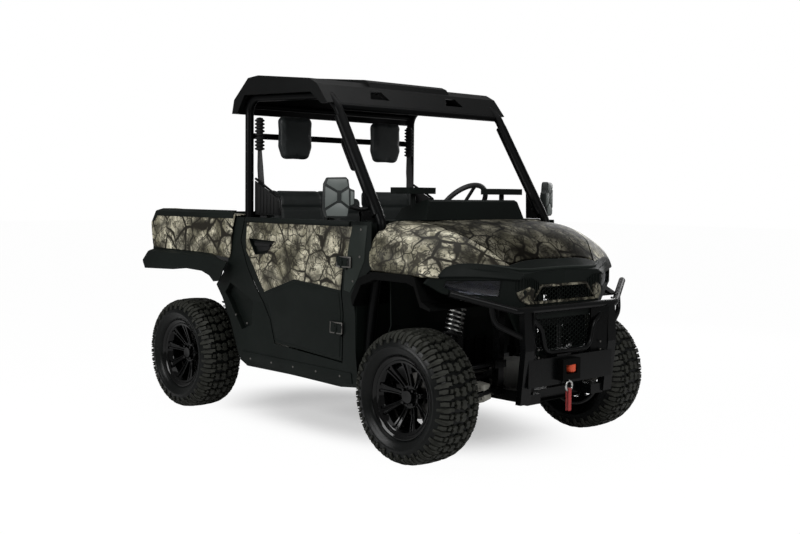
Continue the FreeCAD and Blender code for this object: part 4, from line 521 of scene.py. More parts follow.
def wall_place(s, lift):
    """Point (u, r) at a distance along the tyre's outer profile, lifted off it."""
    travelled = 0
    for (u0, r0), (u1, r1) in zip(WALL, WALL[1:]):
        length = math.hypot(u1 - u0, r1 - r0)
        if travelled + length >= s:
            t = (s - travelled) / length
            nu, nr = -(r1 - r0) / length, (u1 - u0) / length
            return u0 + (u1 - u0) * t + nu * lift, r0 + (r1 - r0) * t + nr * lift
        travelled += length
    return WALL[-1]


def lug(bm, outline, side, turn, height):
    """A tread block that thins towards the wall."""
    middle_s = sum(p[0] for p in outline) / len(outline)
    middle_a = sum(p[1] for p in outline) / len(outline)
    rings = []
    for share, level in LUG_RINGS:
        ring = []
        for s, a in outline:
            s1 = middle_s + (s - middle_s) * share
            a1 = (middle_a + (a - middle_a) * share + turn) * 2 * math.pi / TREAD_PITCHES
            u, r = wall_place(abs(s1), height * curve_value(LUG_HEIGHT, abs(s1)) * level)
            u = u * side * (1 if s1 >= 0 else -1)
            ring.append(Vector((u, r * math.sin(a1 * side), r * math.cos(a1 * side))))
        rings.append(ring)
    loft(bm, rings)


def uneven(draw, outline):
    """The outline with each corner moved a little, so that no two blocks are the same."""
    return [(s + draw.uniform(-0.0016, 0.0016), a + draw.uniform(-0.035, 0.035)) for s, a in outline]


def lugs():
    bm = bmesh.new()
    draw = random.Random(7)
    for number in range(TREAD_PITCHES):
        lug(bm, uneven(draw, CENTRE_LUG if number % 2 else CENTRE_TURNED), 1, number, 0.0142)
        for side, offset in ((1, 0.0), (-1, 0.45)):
            for outline, height in SIDE_LUGS:
                lug(bm, uneven(draw, outline), side, number + offset, height)
    return bm


# ---- Rims

SPOKES = 9
SPOKE_STATIONS = (  # (radius, half width, outer face)
    (0.036, 0.015, 0.042), (0.06, 0.012, 0.0435), (0.09, 0.013, 0.051), (0.125, 0.0165, 0.064),
    (0.156, 0.0215, 0.0765), (0.176, 0.028, 0.0835),
)
BARREL = [
    (0.088, 0.168), (0.0935, 0.18), (0.0945, 0.1875), (0.096, 0.198), (0.099, 0.203), (0.1035, 0.2025),
    (0.1045, 0.1975), (0.1015, 0.191), (0.0985, 0.185), (0.09, 0.177), (0.076, 0.17), (0.07, 0.164),
    (0.045, 0.154), (-0.06, 0.154), (-0.07, 0.168), (-0.098, 0.173), (-0.101, 0.186),
    (-0.101, 0.1925), (-0.0985, 0.1925), (-0.096, 0.1785), (-0.065, 0.1775),
]
HUB = [
    (0.006, 0.06), (0.036, 0.06), (0.042, 0.056), (0.0435, 0.048), (0.04, 0.039), (0.04, 0.034),
    (0.056, 0.033), (0.0605, 0.03), (0.059, 0.012), (0.0585, 0.0),
]
WHEEL_NUTS = 4
NUT_CIRCLE = 0.0455
BRAKE = [(-0.015, 0.058), (-0.015, 0.112), (-0.0135, 0.114), (-0.0115, 0.114), (-0.01, 0.112), (-0.01, 0.058)]


def rim():
    bm = turned(bmesh.new(), BARREL, 72)
    for number in range(SPOKES):
        turn = Matrix.Rotation(2 * math.pi * number / SPOKES, 3, "X")
        rings = []
        for r, half, face in SPOKE_STATIONS:
            back = face - 0.026 + 0.01 * (r - 0.036) / 0.132
            groove = 0.0075 if r > 0.05 else 0.002
            right = [(half * 0.30, face - groove), (half * 0.45, face), (half - 0.0025, face),
                     (half, face - 0.0035), (half, back)]
            left = [(-t, u) for t, u in reversed(right)]
            rings.append([turn @ Vector((u, t, r)) for t, u in left + right])
        loft(bm, rings)
    turned(bm, HUB, 48)
    for number in range(WHEEL_NUTS):
        a = 2 * math.pi * (number + 0.5) / WHEEL_NUTS
        bolt(bm, Vector((0.042, NUT_CIRCLE * math.sin(a), NUT_CIRCLE * math.cos(a))), OUT, 0.0085, 0.016)
    return bm


carcass_shape = shape("carcass", turned(bmesh.new(), [(-u, r) for u, r in reversed(WALL[1:])] + WALL, 96))
lug_shape = shape("lugs", lugs())
rim_shape = shape("rim", rim())
brake_shape = shape("brake", turned(bmesh.new(), BRAKE, 64))

for end, middle in (("front", AXLE), ("rear", REAR)):
    for side, way in SIDES:
        body = end + "_wheel_" + side
        place = Matrix.Translation(Vector((middle.x * way, middle.y, middle.z)))
        if way < 0:
            place = place @ Matrix.Rotation(math.pi, 4, "Z")
        label = end + "_" + side
        commit("carcass_" + label, carcass_shape, TYRE, body, ["tyre_" + label], 42, place)
        commit("lugs_" + label, lug_shape, TREAD, body, (), 30, place)
        commit("wheel_" + label, rim_shape, GLOSS, body, ["rim_" + label], 32, place)
        commit("brake_" + label, brake_shape, DULL_STEEL, body, (), 40, place)


# ---- Body sides: the section as (height, across), and outlines as (y, z)

SIDE = [(0.25, 0.69), (0.40, 0.70), (0.69, 0.70), (0.78, 0.713), (0.90, 0.722), (1.02, 0.722),
        (1.30, 0.704)]
BED_SIDE = [(0.88, 0.727), (0.98, 0.736), (1.10, 0.734), (1.178, 0.722), (1.197, 0.70)]
PRINT_DOOR = [(1.315, 1.132), (0.392, 1.132), (0.43, 0.985), (0.482, 0.905), (0.503, 0.806), (0.699, 0.826),
              (0.885, 0.838), (1.16, 0.752), (1.246, 0.893), (1.312, 0.975)]
HANDLE = [(1.29, 1.043), (1.049, 1.036), (1.12, 0.965), (1.23, 0.955)]
DOOR_LOWER = [(1.15, 0.738), (0.885, 0.822), (0.699, 0.811), (0.516, 0.792), (0.522, 0.458), (1.06, 0.497),
              (1.098, 0.596)]
DOOR_RAIL = [(0.437, 1.16), (1.328, 1.16), (1.337, 1.136), (0.436, 1.136)]
HINGES = [(0.405, 0.515, 0.926, 0.982), (0.492, 0.59, 0.58, 0.64)]
ROCKER = [(0.425, 0.332), (0.52, 0.322), (0.85, 0.33), (1.34, 0.34), (1.378, 0.356), (1.372, 0.40),
          (0.43, 0.388)]
PILLAR = [(0.30, 1.142), (0.412, 1.142), (0.448, 0.962), (0.476, 0.81), (0.428, 0.80), (0.365, 0.872),
          (0.312, 0.966)]
BED_RAIL = [(1.436, 1.196), (2.214, 1.196), (2.268, 1.182), (2.30, 1.112), (2.284, 1.108), (2.246, 1.15),
            (1.432, 1.15)]
BED_FILLER = [(1.50, 0.985), (2.285, 0.985), (2.30, 0.925), (1.64, 0.925)]


def side_sheet(bm, outline, section, lift, thickness, bevel=0.0012, hole=()):
    """A raised sheet that follows the body side, from an outline of (y, z) points."""
    fresh = bmesh.new()
    for loop in (outline, hole):
        row = [fresh.verts.new(p) for p in at_side(0, loop)]
        for i in range(len(row)):
            fresh.edges.new((row[i], row[(i + 1) % len(row)]))
    bmesh.ops.triangle_fill(fresh, use_beauty=True, edges=fresh.edges[:])
    for z, x in section:
        bmesh.ops.bisect_plane(fresh, geom=whole(fresh), dist=1e-6, plane_co=(0, 0, z), plane_no=UP)
    for v in fresh.verts:
        v.co.x = curve_value(section, v.co.z) + lift - thickness
    thicken(fresh, OUT * thickness)
    bmesh.ops.recalc_face_normals(fresh, faces=fresh.faces)
    soften(fresh, bevel, angle=55)
    join(bm, fresh)


def hinge_cover(bm):
    for low_y, high_y, low_z, high_z in HINGES:
        side_sheet(bm, oblong(low_y, high_y, low_z, high_z), SIDE, 0.01, 0.012, 0.003)
        z = (low_z + high_z) / 2
        for y in (low_y + 0.024, high_y - 0.024):
            bolt(bm, spot(curve_value(SIDE, z) + 0.009, y, z), OUT, 0.007, 0.004)


def hinge_rim(bm):
    for hinge in HINGES:
        side_sheet(bm, oblong(*hinge), SIDE, 0.013, 0.01, 0.0015, oblong(*hinge, inset=0.007))


def door_print(bm):
    side_sheet(bm, PRINT_DOOR, SIDE, 0.0015, 0.003, 0.001, HANDLE)


def door_relief(bm):
    side_sheet(bm, DOOR_LOWER, SIDE, 0.0025, 0.004, 0.0022)
    side_sheet(bm, DOOR_RAIL, SIDE, 0.006, 0.01, 0.004)


def door_handle(bm):
    recess = at_side(0.69, ((1.262, 1.028), (1.085, 1.024), (1.14, 0.978), (1.222, 0.97)))
    prism(bm, recess, OUT * 0.014, 0.004)
    grip = at_side(0.705, ((1.25, 1.02), (1.10, 1.017), (1.112, 1.004), (1.244, 1.004)))
    prism(bm, grip, OUT * 0.01, 0.0035)


DOOR_PIECES = (
    (hinge_cover, SOFT_BLACK, "black_rubber"), (hinge_rim, DULL_STEEL, "bare_metal"),
    (door_print, PRINT, "printed_plastic"), (door_relief, PANEL, "black_plastic"),
    (door_handle, SOFT_BLACK, "black_rubber"),
)
for side, way in SIDES:
    for build, material, slot in DOOR_PIECES:
        bm = bmesh.new()
        build(bm)
        if way < 0:
            flip(bm)
        commit(build.__name__ + "_" + side, bm, material, "door_" + side, ())


@piece(PANEL)
def rocker_strips(bm):
    side_sheet(bm, ROCKER, SIDE, 0.005, 0.009, 0.004)


@piece(PALE_PANEL_AND_HIGHLIGHT)
def pillar_covers(bm):
    side_sheet(bm, PILLAR, SIDE, 0.003, 0.006, 0.003)


@piece(PANEL, "cargo_bed")
def bed_rails(bm):
    side_sheet(bm, BED_RAIL, BED_SIDE, 0.005, 0.01, 0.004)
    side_sheet(bm, BED_FILLER, BED_SIDE, -0.003, 0.01)


# ---- Nose: ribs, honeycomb, wings and brow bead

NOSE_PLAN = [(0.00, -0.372), (0.29, -0.362), (0.36, -0.322), (0.655, -0.165), (0.705, -0.10)]
NOSE_RIBS = 11
RIB_FIRST, RIB_PITCH, RIB_HALF = 0.196, 0.0135, 0.0026
RIB_LOW = [(0.20, 0.792), (0.235, 0.856), (0.27, 0.866), (0.34, 0.842)]
RIB_HIGH = [(0.19, 0.88), (0.24, 0.902), (0.33, 0.906)]
GRILLES = (
    [(-0.168, 0.857), (0.168, 0.857), (0.243, 0.786), (-0.243, 0.786)],
    [(-0.243, 0.699), (0.243, 0.699), (0.213, 0.546), (-0.213, 0.546)],
)
CELL, WIRE, MESH_DEPTH = 0.0125, 0.0026, 0.005


def nose_y(x):
    return curve_value(NOSE_PLAN, abs(x))


@piece(PANEL)
def nose_ribs(bm):
    for number in range(NOSE_RIBS):
        x = RIB_FIRST + RIB_PITCH * number
        low, high = curve_value(RIB_LOW, x), curve_value(RIB_HIGH, x)
        front = nose_y(x) - 0.0055
        foot = [spot(x + dx, nose_y(x + dx) + 0.002, low) for dx in (-RIB_HALF, RIB_HALF)]
        face = [spot(x + RIB_HALF, front, low), spot(x - RIB_HALF, front, low)]
        prism(bm, foot + face, UP * (high - low), 0.0015)


def pierced(outline, y):
    """A pierced sheet of hexagon openings, trimmed to a convex outline of (x, z) points."""
    bm = bmesh.new()
    xs = [p[0] for p in outline]
    zs = [p[1] for p in outline]
    step_x = CELL * 1.5
    step_z = CELL * math.sqrt(3)
    for i in range(int((max(xs) - min(xs)) / step_x) + 3):
        for k in range(int((max(zs) - min(zs)) / step_z) + 3):
            cx = min(xs) - step_x + i * step_x
            cz = min(zs) - step_z + k * step_z + (step_z / 2 if i % 2 else 0)
            bm.faces.new([bm.verts.new(p) for p in circle(spot(cx, y, cz), OUT, UP, CELL, 6)])
    bmesh.ops.remove_doubles(bm, verts=bm.verts, dist=1e-5)
    made = bmesh.ops.inset_individual(bm, faces=bm.faces[:], thickness=WIRE / 2, use_even_offset=True)
    rims = set(made["faces"])
    bmesh.ops.delete(bm, geom=[f for f in bm.faces if f not in rims], context="FACES")
    middle = Vector((sum(xs) / len(xs), 0, sum(zs) / len(zs)))
    for a, b in zip(outline, outline[1:] + outline[:1]):
        out = Vector((b[1] - a[1], 0, a[0] - b[0])).normalized()
        if out.dot(Vector((a[0], 0, a[1])) - middle) < 0:
            out = -out
        bmesh.ops.bisect_plane(bm, geom=whole(bm), dist=1e-6, plane_co=spot(a[0], y, a[1]), plane_no=out,
                               clear_outer=True)
    thicken(bm, BACK * MESH_DEPTH)
    return bm


@piece(PANEL, replaced=["grille_mesh"], both=False)
def honeycomb(bm):
    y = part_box("grille_mesh")[0].y - AXLE.y
    for outline in GRILLES:
        join(bm, pierced(outline, y))


@piece(PRINT_NOSE_PAINTED_SHADE)
def grille_wings(bm):
    """The broad printed ends of the grille surround, bent round the nose."""
    outline = [(0.228, 0.846), (0.264, 0.86), (0.331, 0.834), (0.316, 0.797), (0.276, 0.774), (0.246, 0.779)]
    prism(bm, [spot(x, nose_y(x) - 0.001, z) for x, z in outline], Vector((0.002, -0.008, 0)), 0.003)


@piece(PALE_PANEL_AND_HIGHLIGHT, both=False)
def brow_bead(bm):
    """The rounded lower lip of the hood's edge, which thins towards its ends. Its pale grey is a painted highlight
    along the black lip.
    """
    plan = [(0.00, -0.352, 0.944), (0.12, -0.35, 0.943), (0.23, -0.346, 0.94), (0.30, -0.33, 0.943),
            (0.352, -0.302, 0.952), (0.44, -0.254, 0.966), (0.53, -0.21, 0.976)]
    points = [spot(-x, y, z) for x, y, z in reversed(plan[1:])] + [spot(x, y, z) for x, y, z in plan]
    count = len(points)
    radii = [0.004 + 0.004 * min(1, 3 * i / count, 3 * (count - 1 - i) / count) for i in range(count)]
    tube(bm, points, radii, 10)


# ---- Lamps: their outline as (x, z) on a slanted upright plane

LAMP = [(0.394, 0.891), (0.638, 0.894), (0.649, 0.868), (0.599, 0.836), (0.402, 0.814)]
LAMP_START = spot(0.36, -0.322, 0)
LAMP_WAY = (spot(0.655, -0.165, 0) - LAMP_START).normalized()
LAMP_OUT = Vector((LAMP_WAY.y, -LAMP_WAY.x, 0))
BULBS = ((0.452, 0.853, 0.027), (0.54, 0.866, 0.026))
BOWL_SECTION = [(-0.03, 1.05), (-0.004, 1.08), (0.002, 1.02), (0.002, 0.86), (-0.004, 0.80), (-0.024, 0.55),
                (-0.03, 0.0)]
BULB_SECTION = [(0.0, 0.80), (0.22, 0.74), (0.40, 0.52), (0.48, 0.0)]


def on_lamp(x, z, depth):
    """A point on the slanted lamp plane at x and z, set back into the nose."""
    point = LAMP_START + LAMP_WAY * ((x - LAMP_START.x) / LAMP_WAY.x) - LAMP_OUT * depth
    return Vector((point.x, point.y, z))


@piece(GLASS, replaced=["headlights"])
def lamp_covers(bm):
    prism(bm, [on_lamp(x, z, 0.012) for x, z in LAMP], LAMP_OUT * 0.004, 0.0015)


@piece(LAMP_INSIDE)
def lamp_boxes(bm):
    prism(bm, [on_lamp(x, z, 0.058) for x, z in LAMP], LAMP_OUT * 0.01, 0.001)
    centre_x = sum(p[0] for p in LAMP) / len(LAMP)
    centre_z = sum(p[1] for p in LAMP) / len(LAMP)
    outer = [on_lamp(x, z, 0.018) for x, z in LAMP]
    inner = [on_lamp(centre_x + (x - centre_x) * 0.90, centre_z + (z - centre_z) * 0.84, 0.04) for x, z in LAMP]
    funnel = bmesh.new()
    loft(funnel, [outer, inner], False)
    bmesh.ops.solidify(funnel, geom=funnel.faces[:], thickness=0.002)
    join(bm, funnel)


@piece(CHROME)
def lamp_bowls(bm):
    for x, z, size in BULBS:
        spun(bm, [(u, r * size) for u, r in BOWL_SECTION], 32, on_lamp(x, z, 0.02), LAMP_OUT)


@piece(GLASS)
def lamp_bulbs(bm):
    for x, z, size in BULBS:
        spun(bm, [(u * size, r * size) for u, r in BULB_SECTION], 32, on_lamp(x, z, 0.02), LAMP_OUT)


# ---- Seats


def bake(block):
    """Applies the modifiers of a block."""
    graph = bpy.context.evaluated_depsgraph_get()
    mesh = bpy.data.meshes.new_from_object(block.evaluated_get(graph))
    block.modifiers.clear()
    block.data = mesh


def inflate(block, cap, pressure=4.0):
    """Swells a pad by cloth simulation, each point by no more than the cap."""
    rest = [v.co.copy() for v in block.data.vertices]
    cloth = block.modifiers.new("cloth", "CLOTH")
    cloth.settings.use_pressure = True
    cloth.settings.uniform_pressure_force = pressure
    cloth.settings.effector_weights.gravity = 0
    cloth.settings.quality = 4
    for step in range(1, 21):
        scene.frame_set(step)
    graph = bpy.context.evaluated_depsgraph_get()
    swollen = [v.co.copy() for v in block.evaluated_get(graph).data.vertices]
    block.modifiers.clear()
    scene.frame_set(1)
    for v, a, b in zip(block.data.vertices, rest, swollen):
        move = b - a
        if move.length > cap:
            move = move.normalized() * cap
        v.co = a + move


def settle(block, rounds):
    """Evens out a remeshed surface."""
    bm = bmesh.new()
    bm.from_mesh(block.data)
    for _ in range(rounds):
        bmesh.ops.smooth_vert(bm, verts=bm.verts, factor=0.5, use_axis_x=True, use_axis_y=True, use_axis_z=True)
    bm.to_mesh(block.data)
    bm.free()


def groove(block, distance, depth, width):
    """Presses a sewn channel where the distance function is near nought."""
    normals = [v.normal.copy() for v in block.data.vertices]
    for v, n in zip(block.data.vertices, normals):
        v.co -= n * depth * math.exp(-(distance(v.co) / width) ** 2)


def pad(name, points, way, grooves, material, replaced, round_by=0.022, voxel=0.0085, cap=0.01, twin=True):
    """A padded block: an outline pushed along a vector, rounded, remeshed, swollen and sewn."""
    bm = bmesh.new()
    prism(bm, points, way, round_by, 3)
    block = bpy.data.objects.new(name, shape(name, bm))
    scene.collection.objects.link(block)
    remesh = block.modifiers.new("remesh", "REMESH")
    remesh.mode = "VOXEL"
    remesh.voxel_size = voxel
    bake(block)
    settle(block, 3)
    inflate(block, cap)
    settle(block, 2)
    for distance, depth, width in grooves:
        groove(block, distance, depth, width)
    even = block.modifiers.new("even", "SUBSURF")
    even.levels = even.render_levels = 1
    bake(block)
    mesh = block.data
    bpy.data.objects.remove(block)
    for side, hand in SIDES if twin else (("", 1),):
        if hand < 0:
            mesh = mesh.copy()
            mesh.transform(Matrix.Scale(-1, 4, OUT))
            mesh.flip_normals()
        label = name + "_" + side if twin else name
        commit(label, mesh, material, "chassis", replaced, 70)


SEAT_MIDDLE, BACK_MIDDLE = 0.291, 0.356
CUSHION = [(0.872, 0.678), (0.866, 0.742), (0.896, 0.784), (1.222, 0.764), (1.226, 0.672)]
SEAT_BACK = [(1.252, 0.812), (1.288, 1.292), (1.306, 1.322), (1.345, 1.322), (1.349, 0.68), (1.254, 0.68)]
MIDDLE_BACK = [(1.252, 0.812), (1.286, 1.255), (1.30, 1.28), (1.345, 1.28), (1.349, 0.68), (1.254, 0.68)]
HEADREST = [(0.258, 1.745), (0.454, 1.745), (0.474, 1.722), (0.476, 1.56), (0.452, 1.498), (0.428, 1.488),
            (0.283, 1.488), (0.259, 1.498), (0.236, 1.56), (0.238, 1.722)]

pad("seat_cushion", at_side(0.018, CUSHION), OUT * 0.546, [
    (lambda p: p.y - spot(0, 0.985, 0).y, 0.006, 0.008),
    (lambda p: abs(p.x - SEAT_MIDDLE) - 0.205, 0.006, 0.008),
], VINYL, ["seat_cushions"])
pad("seat_back", at_side(0.143, SEAT_BACK), OUT * 0.427, [
    (lambda p: p.z - 1.215, 0.007, 0.009),
    (lambda p: abs(p.x - BACK_MIDDLE) - 0.15, 0.006, 0.009),
], VINYL, ["seat_backs"])
pad("seat_back_middle", at_side(-0.114, MIDDLE_BACK), OUT * 0.228, [
    (lambda p: p.z - 1.18, 0.006, 0.009),
], VINYL, ["seat_backs"], twin=False)
pad("headrest", at_front(1.322, HEADREST), BACK * 0.046, [
    (lambda p: p.y - spot(0, 1.345, 0).y, 0.003, 0.004),
], VINYL_PALE, ["headrests"], 0.016, 0.006, 0.007)


@piece(FRAME_PAINT)
def headrest_arms(bm):
    for x in (0.30, 0.412):
        tube(bm, [spot(x, 1.36, 1.62), spot(x, 1.392, 1.62)], 0.008)
    prism(bm, at_front(1.372, oblong(0.285, 0.427, 1.60, 1.64)), BACK * 0.006, 0.002)


# ---- Side guards, and belts with ribbed boots

SIDE_GUARD = [(1.39, 1.366), (1.301, 1.326), (1.216, 1.288), (1.165, 1.264), (1.165, 1.172), (1.39, 1.172)]
GUARD_TOP = [(1.165, 1.252), (1.216, 1.276), (1.301, 1.314), (1.39, 1.354)]
GUARD_BAR = [(1.385, 1.378), (1.301, 1.338), (1.216, 1.298), (1.166, 1.272), (1.153, 1.25), (1.153, 1.172)]
GUARD_RIBS, GUARD_PITCH = 6, 0.032
BELT_X = 0.588
BELT_ROWS = [(1.372, 1.545, 0.018), (1.366, 1.44, 0.027), (1.346, 1.25, 0.03), (1.31, 1.02, 0.03),
             (1.262, 0.84, 0.03)]
WEB_HALF = 0.0015
BOOT_RIBS, BOOT_PITCH = 9, 0.02


@piece(SOFT_BLACK)
def side_guards(bm):
    """Padded guards beside the seat backs, ribbed like the belt boots."""
    prism(bm, at_side(0.60, SIDE_GUARD), OUT * 0.01, 0.004)
    for number in range(GUARD_RIBS):
        y = 1.185 + GUARD_PITCH * number
        rib = oblong(y - 0.01, y + 0.01, 1.18, curve_value(GUARD_TOP, y))
        prism(bm, at_side(0.608, rib), OUT * 0.007, 0.003)


@piece(FRAME_PAINT)
def guard_bars(bm):
    tube(bm, at_side(0.606, GUARD_BAR), 0.007)


@piece(SOFT_BLACK, replaced=["seat_belts"], smooth=50)
def belt_boots(bm):
    profile = [(-0.006, 0.0)]
    for number in range(BOOT_RIBS):
        base = BOOT_PITCH * number
        profile += [(base, 0.019), (base + 0.004, 0.028), (base + 0.011, 0.028), (base + 0.015, 0.019)]
    profile += [(0.182, 0.018), (0.186, 0.0)]
    turned(bm, profile, 24, spot(BELT_X, 1.372, 1.54), True)


@piece(WEBBING)
def belt_straps(bm):
    corners = ((-1, -1), (1, -1), (1, 1), (-1, 1))
    loft(bm, [[spot(BELT_X + WEB_HALF * i, y + w * k, z) for i, k in corners] for y, z, w in BELT_ROWS])
    latch = at_side(BELT_X - 0.01, ((1.236, 0.80), (1.262, 0.792), (1.276, 0.856), (1.25, 0.866)))
    prism(bm, latch, OUT * 0.016, 0.003)


# ---- Mirrors: outlines as (across the mirror, up)

MIRROR = [(-0.08, 1.238), (-0.08, 1.316), (-0.054, 1.324), (-0.048, 1.366), (-0.036, 1.38), (0.06, 1.377),
          (0.076, 1.345), (0.08, 1.222), (0.066, 1.179), (-0.042, 1.176), (-0.054, 1.232)]
MIRROR_PANELS = (
    [(0.072, 1.333), (0.012, 1.301), (0.012, 1.263), (0.073, 1.227)],
    [(0.058, 1.369), (-0.036, 1.371), (-0.044, 1.337), (-0.008, 1.313), (0.01, 1.313), (0.066, 1.345)],
    [(0.063, 1.188), (0.069, 1.214), (0.01, 1.251), (-0.008, 1.251), (-0.046, 1.222), (-0.04, 1.186)],
    [(-0.047, 1.322), (-0.01, 1.299), (-0.01, 1.264), (-0.05, 1.236)],
    [(-0.057, 1.312), (-0.074, 1.305), (-0.074, 1.247), (-0.057, 1.241)],
)
MIRROR_YAW = math.radians(25)
MIRROR_X, MIRROR_Y, MIRROR_Z = 0.809, 0.413, 1.278


def on_mirror(u, depth, z):
    """A point on the turned mirror: across it, back from its middle, and up."""
    c, s = math.cos(MIRROR_YAW), math.sin(MIRROR_YAW)
    return spot(MIRROR_X + u * c - depth * s, MIRROR_Y + u * s + depth * c, z)


def mirror_sheet(bm, outline, depth, thickness, bevel, segments=2):
    way = on_mirror(0, thickness, 0) - on_mirror(0, 0, 0)
    prism(bm, [on_mirror(u, depth, z) for u, z in outline], way, bevel, segments)


@piece(MIRROR_GREY, replaced=["mirrors"])
def mirror_shells(bm):
    mirror_sheet(bm, MIRROR, -0.018, 0.038, 0.008, 3)


@piece(MIRROR_RIB)
def mirror_ribs(bm):
    for outline in MIRROR_PANELS:
        mirror_sheet(bm, outline, -0.0165, -0.005, 0.002)


@piece(MIRROR_GLASS)
def mirror_faces(bm):
    inner = [(u * 0.88, MIRROR_Z + (z - MIRROR_Z) * 0.90) for u, z in MIRROR]
    mirror_sheet(bm, inner, 0.0185, 0.003, 0.001)


@piece(FRAME_PAINT)
def mirror_arms(bm):
    arm = [spot(0.622, 0.35, 1.235), spot(0.70, 0.368, 1.22), spot(0.76, 0.39, 1.236), spot(0.80, 0.409, 1.25)]
    tube(bm, arm, 0.012, 14)
    tube(bm, [spot(0.64, 0.335, 1.252), spot(0.64, 0.365, 1.212)], 0.019, 16)


# ---- Castings, springs, a dark plate of painted shade, and fasteners

CASTING = [(-0.05, 0.366), (-0.126, 0.36), (-0.134, 0.286), (-0.08, 0.258), (-0.036, 0.29)]
CASTING_BOLTS = ((-0.062, 0.35), (-0.114, 0.346), (-0.118, 0.292), (-0.06, 0.286))
SPRING_TURNS, TURN_STEPS = 6, 16
SPRING_RADIUS, SPRING_LENGTH, SPRING_WIRE = 0.04, 0.135, 0.0055
PANEL_BOLTS = ((0.345, 1.12), (0.345, 0.985), (0.40, 0.86), (1.44, 0.60), (1.33, 0.56))
BUMPER_BOLTS = ((0.42, -0.352, 0.77), (0.33, -0.409, 0.70), (0.31, -0.412, 0.64), (0.245, -0.414, 0.56),
                (0.245, -0.414, 0.52), (0.15, -0.412, 0.50))
SILL_BOLTS, SILL_PITCH = 5, 0.195
SHADE_PLATE = [(-0.285, 0.61), (0.285, 0.61), (0.285, 0.40), (0.23, 0.335), (-0.23, 0.335), (-0.285, 0.40)]


@piece(CAST_PALE)
def castings(bm):
    """Bare gear housings low behind the front wheels."""
    prism(bm, at_side(0.262, CASTING), OUT * 0.052, 0.008, 3)
    for point in at_side(0.314, CASTING_BOLTS):
        bolt(bm, point, OUT, 0.006, 0.005)


def dampers():
    """The head of each left shock absorber and the way up to it."""
    foot_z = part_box("shock_absorbers")[0].z + 0.016
    for y in (0.0, REAR.y - AXLE.y):
        head = spot(0.365, y, 0.79)
        yield head, (head - spot(0.445, y, foot_z)).normalized()


@piece(BRIGHT_STEEL, replaced=["springs"], smooth=60)
def coil_springs(bm):
    """Fat road springs round the tops of the four shock absorbers."""
    for head, way in dampers():
        low = head - way * (0.045 + SPRING_LENGTH)
        points = []
        for step in range(SPRING_TURNS * TURN_STEPS + 1):
            a = 2 * math.pi * step / TURN_STEPS
            round_way = BACK * math.cos(a) + way.cross(BACK) * math.sin(a)
            climb = way * (SPRING_LENGTH * step / (SPRING_TURNS * TURN_STEPS))
            points.append(low + climb + round_way * SPRING_RADIUS)
        tube(bm, points, SPRING_WIRE, 8)


@piece(SOFT_BLACK)
def spring_cups(bm):
    for head, way in dampers():
        tube(bm, [head - way * 0.188, head - way * 0.042], 0.0265, 20)
        for drop, facing in ((0.04, 1), (0.186, -1)):
            cup = [(-0.004 * facing, 0.0), (-0.004 * facing, 0.044), (0.00, 0.047), (0.005 * facing, 0.044),
                   (0.005 * facing, 0.0)]
            spun(bm, cup, 32, head - way * drop, way)


# A dark ribbed plate across the vehicle just behind the front axle, which fills a see-through gap with painted shade.
@piece(PAINTED_SHADE_BLACK, both=False)
def shade_plate(bm):
    prism(bm, at_front(0.30, SHADE_PLATE), BACK * 0.006, 0.002)
    for x in (-0.16, -0.08, 0.0, 0.08, 0.16):
        prism(bm, at_front(0.298, oblong(x - 0.006, x + 0.006, 0.36, 0.59)), BACK * -0.006, 0.002)


@piece(DULL_STEEL)
def fasteners(bm):
    """Screw heads along the sills, the arches and the bumper."""
    for number in range(SILL_BOLTS):
        bolt(bm, spot(0.70, 0.52 + SILL_PITCH * number, 0.362), OUT, 0.0065, 0.0035)
    for y, z in PANEL_BOLTS:
        bolt(bm, spot(curve_value(SIDE, z) + 0.002, y, z), OUT, 0.0065, 0.0035)
    for place in BUMPER_BOLTS:
        bolt(bm, spot(*place), -BACK, 0.006, 0.004)


@piece(ORANGE, smooth=50, both=False)
def rope_stop(bm):
    """The rounded stop at the end of the winch's rope."""
    profile = [(-0.03, 0.0), (-0.03, 0.02), (-0.022, 0.027), (0.022, 0.027), (0.03, 0.02), (0.03, 0.0)]
    turned(bm, profile, 32, spot(-0.02, -0.432, 0.462), True)


# ---- Floor, light and camera

FLOOR_HALF = 40.0
FLOOR_GLOW = 0.40
WORLD_LEVEL = 0.24
# The floor keeps its shadow inside an oval, and fades to white outside it
OVAL_X, OVAL_Y = 0.82, 1.38
FADE_START, FADE_END, FADE_SHARE = 0.45, 1.02, 0.97

LIGHTS = (  # (name, place, target, size, power)
    ("overhead", (-0.5, -0.3, 4.2), (0, 0, 0.6), (4.0, 4.5), 78),
    ("side", (-5.0, 0.6, 2.6), (0, 0.2, 0.8), (3.2, 1.4), 125),
    ("front", (-1.2, -5.2, 3.0), (0, -0.6, 0.8), (3.0, 1.2), 80),
    ("left", (5.2, 1.2, 2.4), (0, 0, 0.8), (3.2, 1.6), 60),
)
EYE = (-4.349, -4.753, 1.298)
YAW, PITCH, ROLL = math.radians(43.41), math.radians(-3.77), 0.011


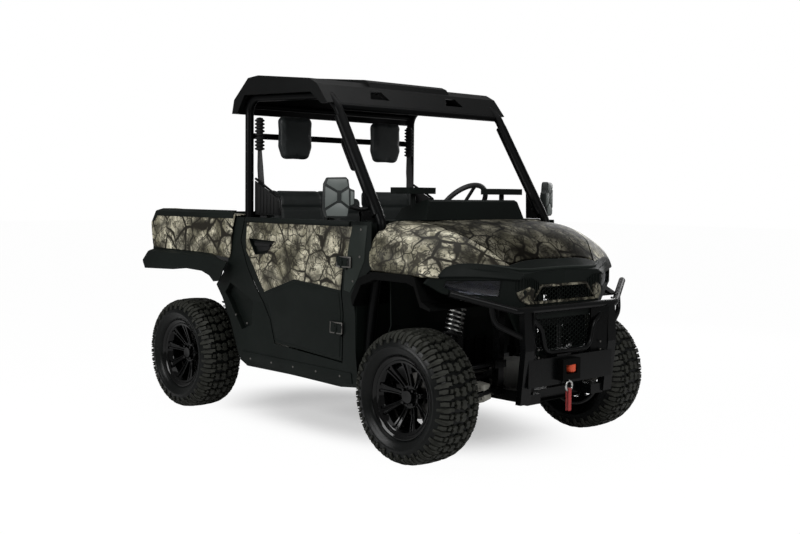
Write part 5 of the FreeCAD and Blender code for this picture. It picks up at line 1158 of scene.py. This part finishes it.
def floor():
    mesh = bpy.data.meshes.new("floor")
    corners = [(x * FLOOR_HALF, y * FLOOR_HALF, 0) for x, y in ((-1, -1), (1, -1), (1, 1), (-1, 1))]
    mesh.from_pydata(corners, [], [(0, 1, 2, 3)])
    ground = bpy.data.objects.new("floor", mesh)
    scene.collection.objects.link(ground)
    paint = Finish("floor_white", (0.80, 0.80, 0.80), 0.95, Specular_IOR_Level=0.0)
    paint.color(paint.ramp(paint.noise(0.7, 2), [(0.3, 0.79), (0.7, 0.81)]))
    seen = paint.seen()
    glow = paint.add("ShaderNodeEmission", [("Strength", paint.math("MULTIPLY", seen, FLOOR_GLOW))])
    near = paint.add("ShaderNodeAddShader", enumerate((paint.bsdf.outputs[0], glow.outputs[0])))
    oval = paint.add("ShaderNodeMapping", (("Vector", paint.space), ("Scale", (1 / OVAL_X, 1 / OVAL_Y, 1))))
    reach = paint.add("ShaderNodeVectorMath", [(0, oval.outputs["Vector"])], operation="LENGTH")
    fade = paint.add("ShaderNodeMapRange", (
        ("Value", reach.outputs["Value"]), ("From Min", FADE_START), ("From Max", FADE_END), ("To Max", FADE_SHARE),
    ), interpolation_type="SMOOTHSTEP")
    share = paint.math("MULTIPLY", fade.outputs["Result"], seen)
    white = paint.add("ShaderNodeEmission")
    blend = paint.add("ShaderNodeMixShader", enumerate((share, near.outputs[0], white.outputs[0])))
    paint.put(blend.outputs[0], paint.tree.nodes["Material Output"].inputs["Surface"])
    mesh.materials.append(paint.material)


def backdrop():
    """A world that looks white and lights the object softly."""
    scene.world = bpy.data.worlds.new("studio")
    scene.world.use_nodes = True
    sky = Nodes(scene.world.node_tree)
    back = sky.tree.nodes["Background"]
    level = sky.add("ShaderNodeMapRange", (("Value", sky.seen()), ("To Min", WORLD_LEVEL), ("To Max", 1.0)))
    sky.put(level.outputs[0], back.inputs["Strength"])
    sky.put((1, 1, 1), back.inputs["Color"])


def area(name, place, target, size, power):
    light = bpy.data.lights.new(name, "AREA")
    light.shape = "RECTANGLE"
    light.size, light.size_y = size
    light.energy = power
    lamp = bpy.data.objects.new(name, light)
    lamp.location = place
    lamp.rotation_euler = (Vector(target) - Vector(place)).to_track_quat("-Z", "Y").to_euler()
    scene.collection.objects.link(lamp)


def camera():
    data = bpy.data.cameras.new("camera")
    data.lens = 49.7
    data.sensor_width = 36
    eye = bpy.data.objects.new("camera", data)
    ahead = Vector((math.sin(YAW) * math.cos(PITCH), math.cos(YAW) * math.cos(PITCH), math.sin(PITCH)))
    right = ahead.cross(UP).normalized()
    up = right.cross(ahead)
    c, s = math.cos(ROLL), math.sin(ROLL)
    turn = Matrix((right * c + up * s, up * c - right * s, -ahead)).transposed()
    eye.matrix_world = Matrix.Translation(EYE) @ turn.to_4x4()
    scene.collection.objects.link(eye)
    scene.camera = eye


floor()
backdrop()
for light in LIGHTS:
    area(*light)
camera()

scene.view_settings.view_transform = "Standard"
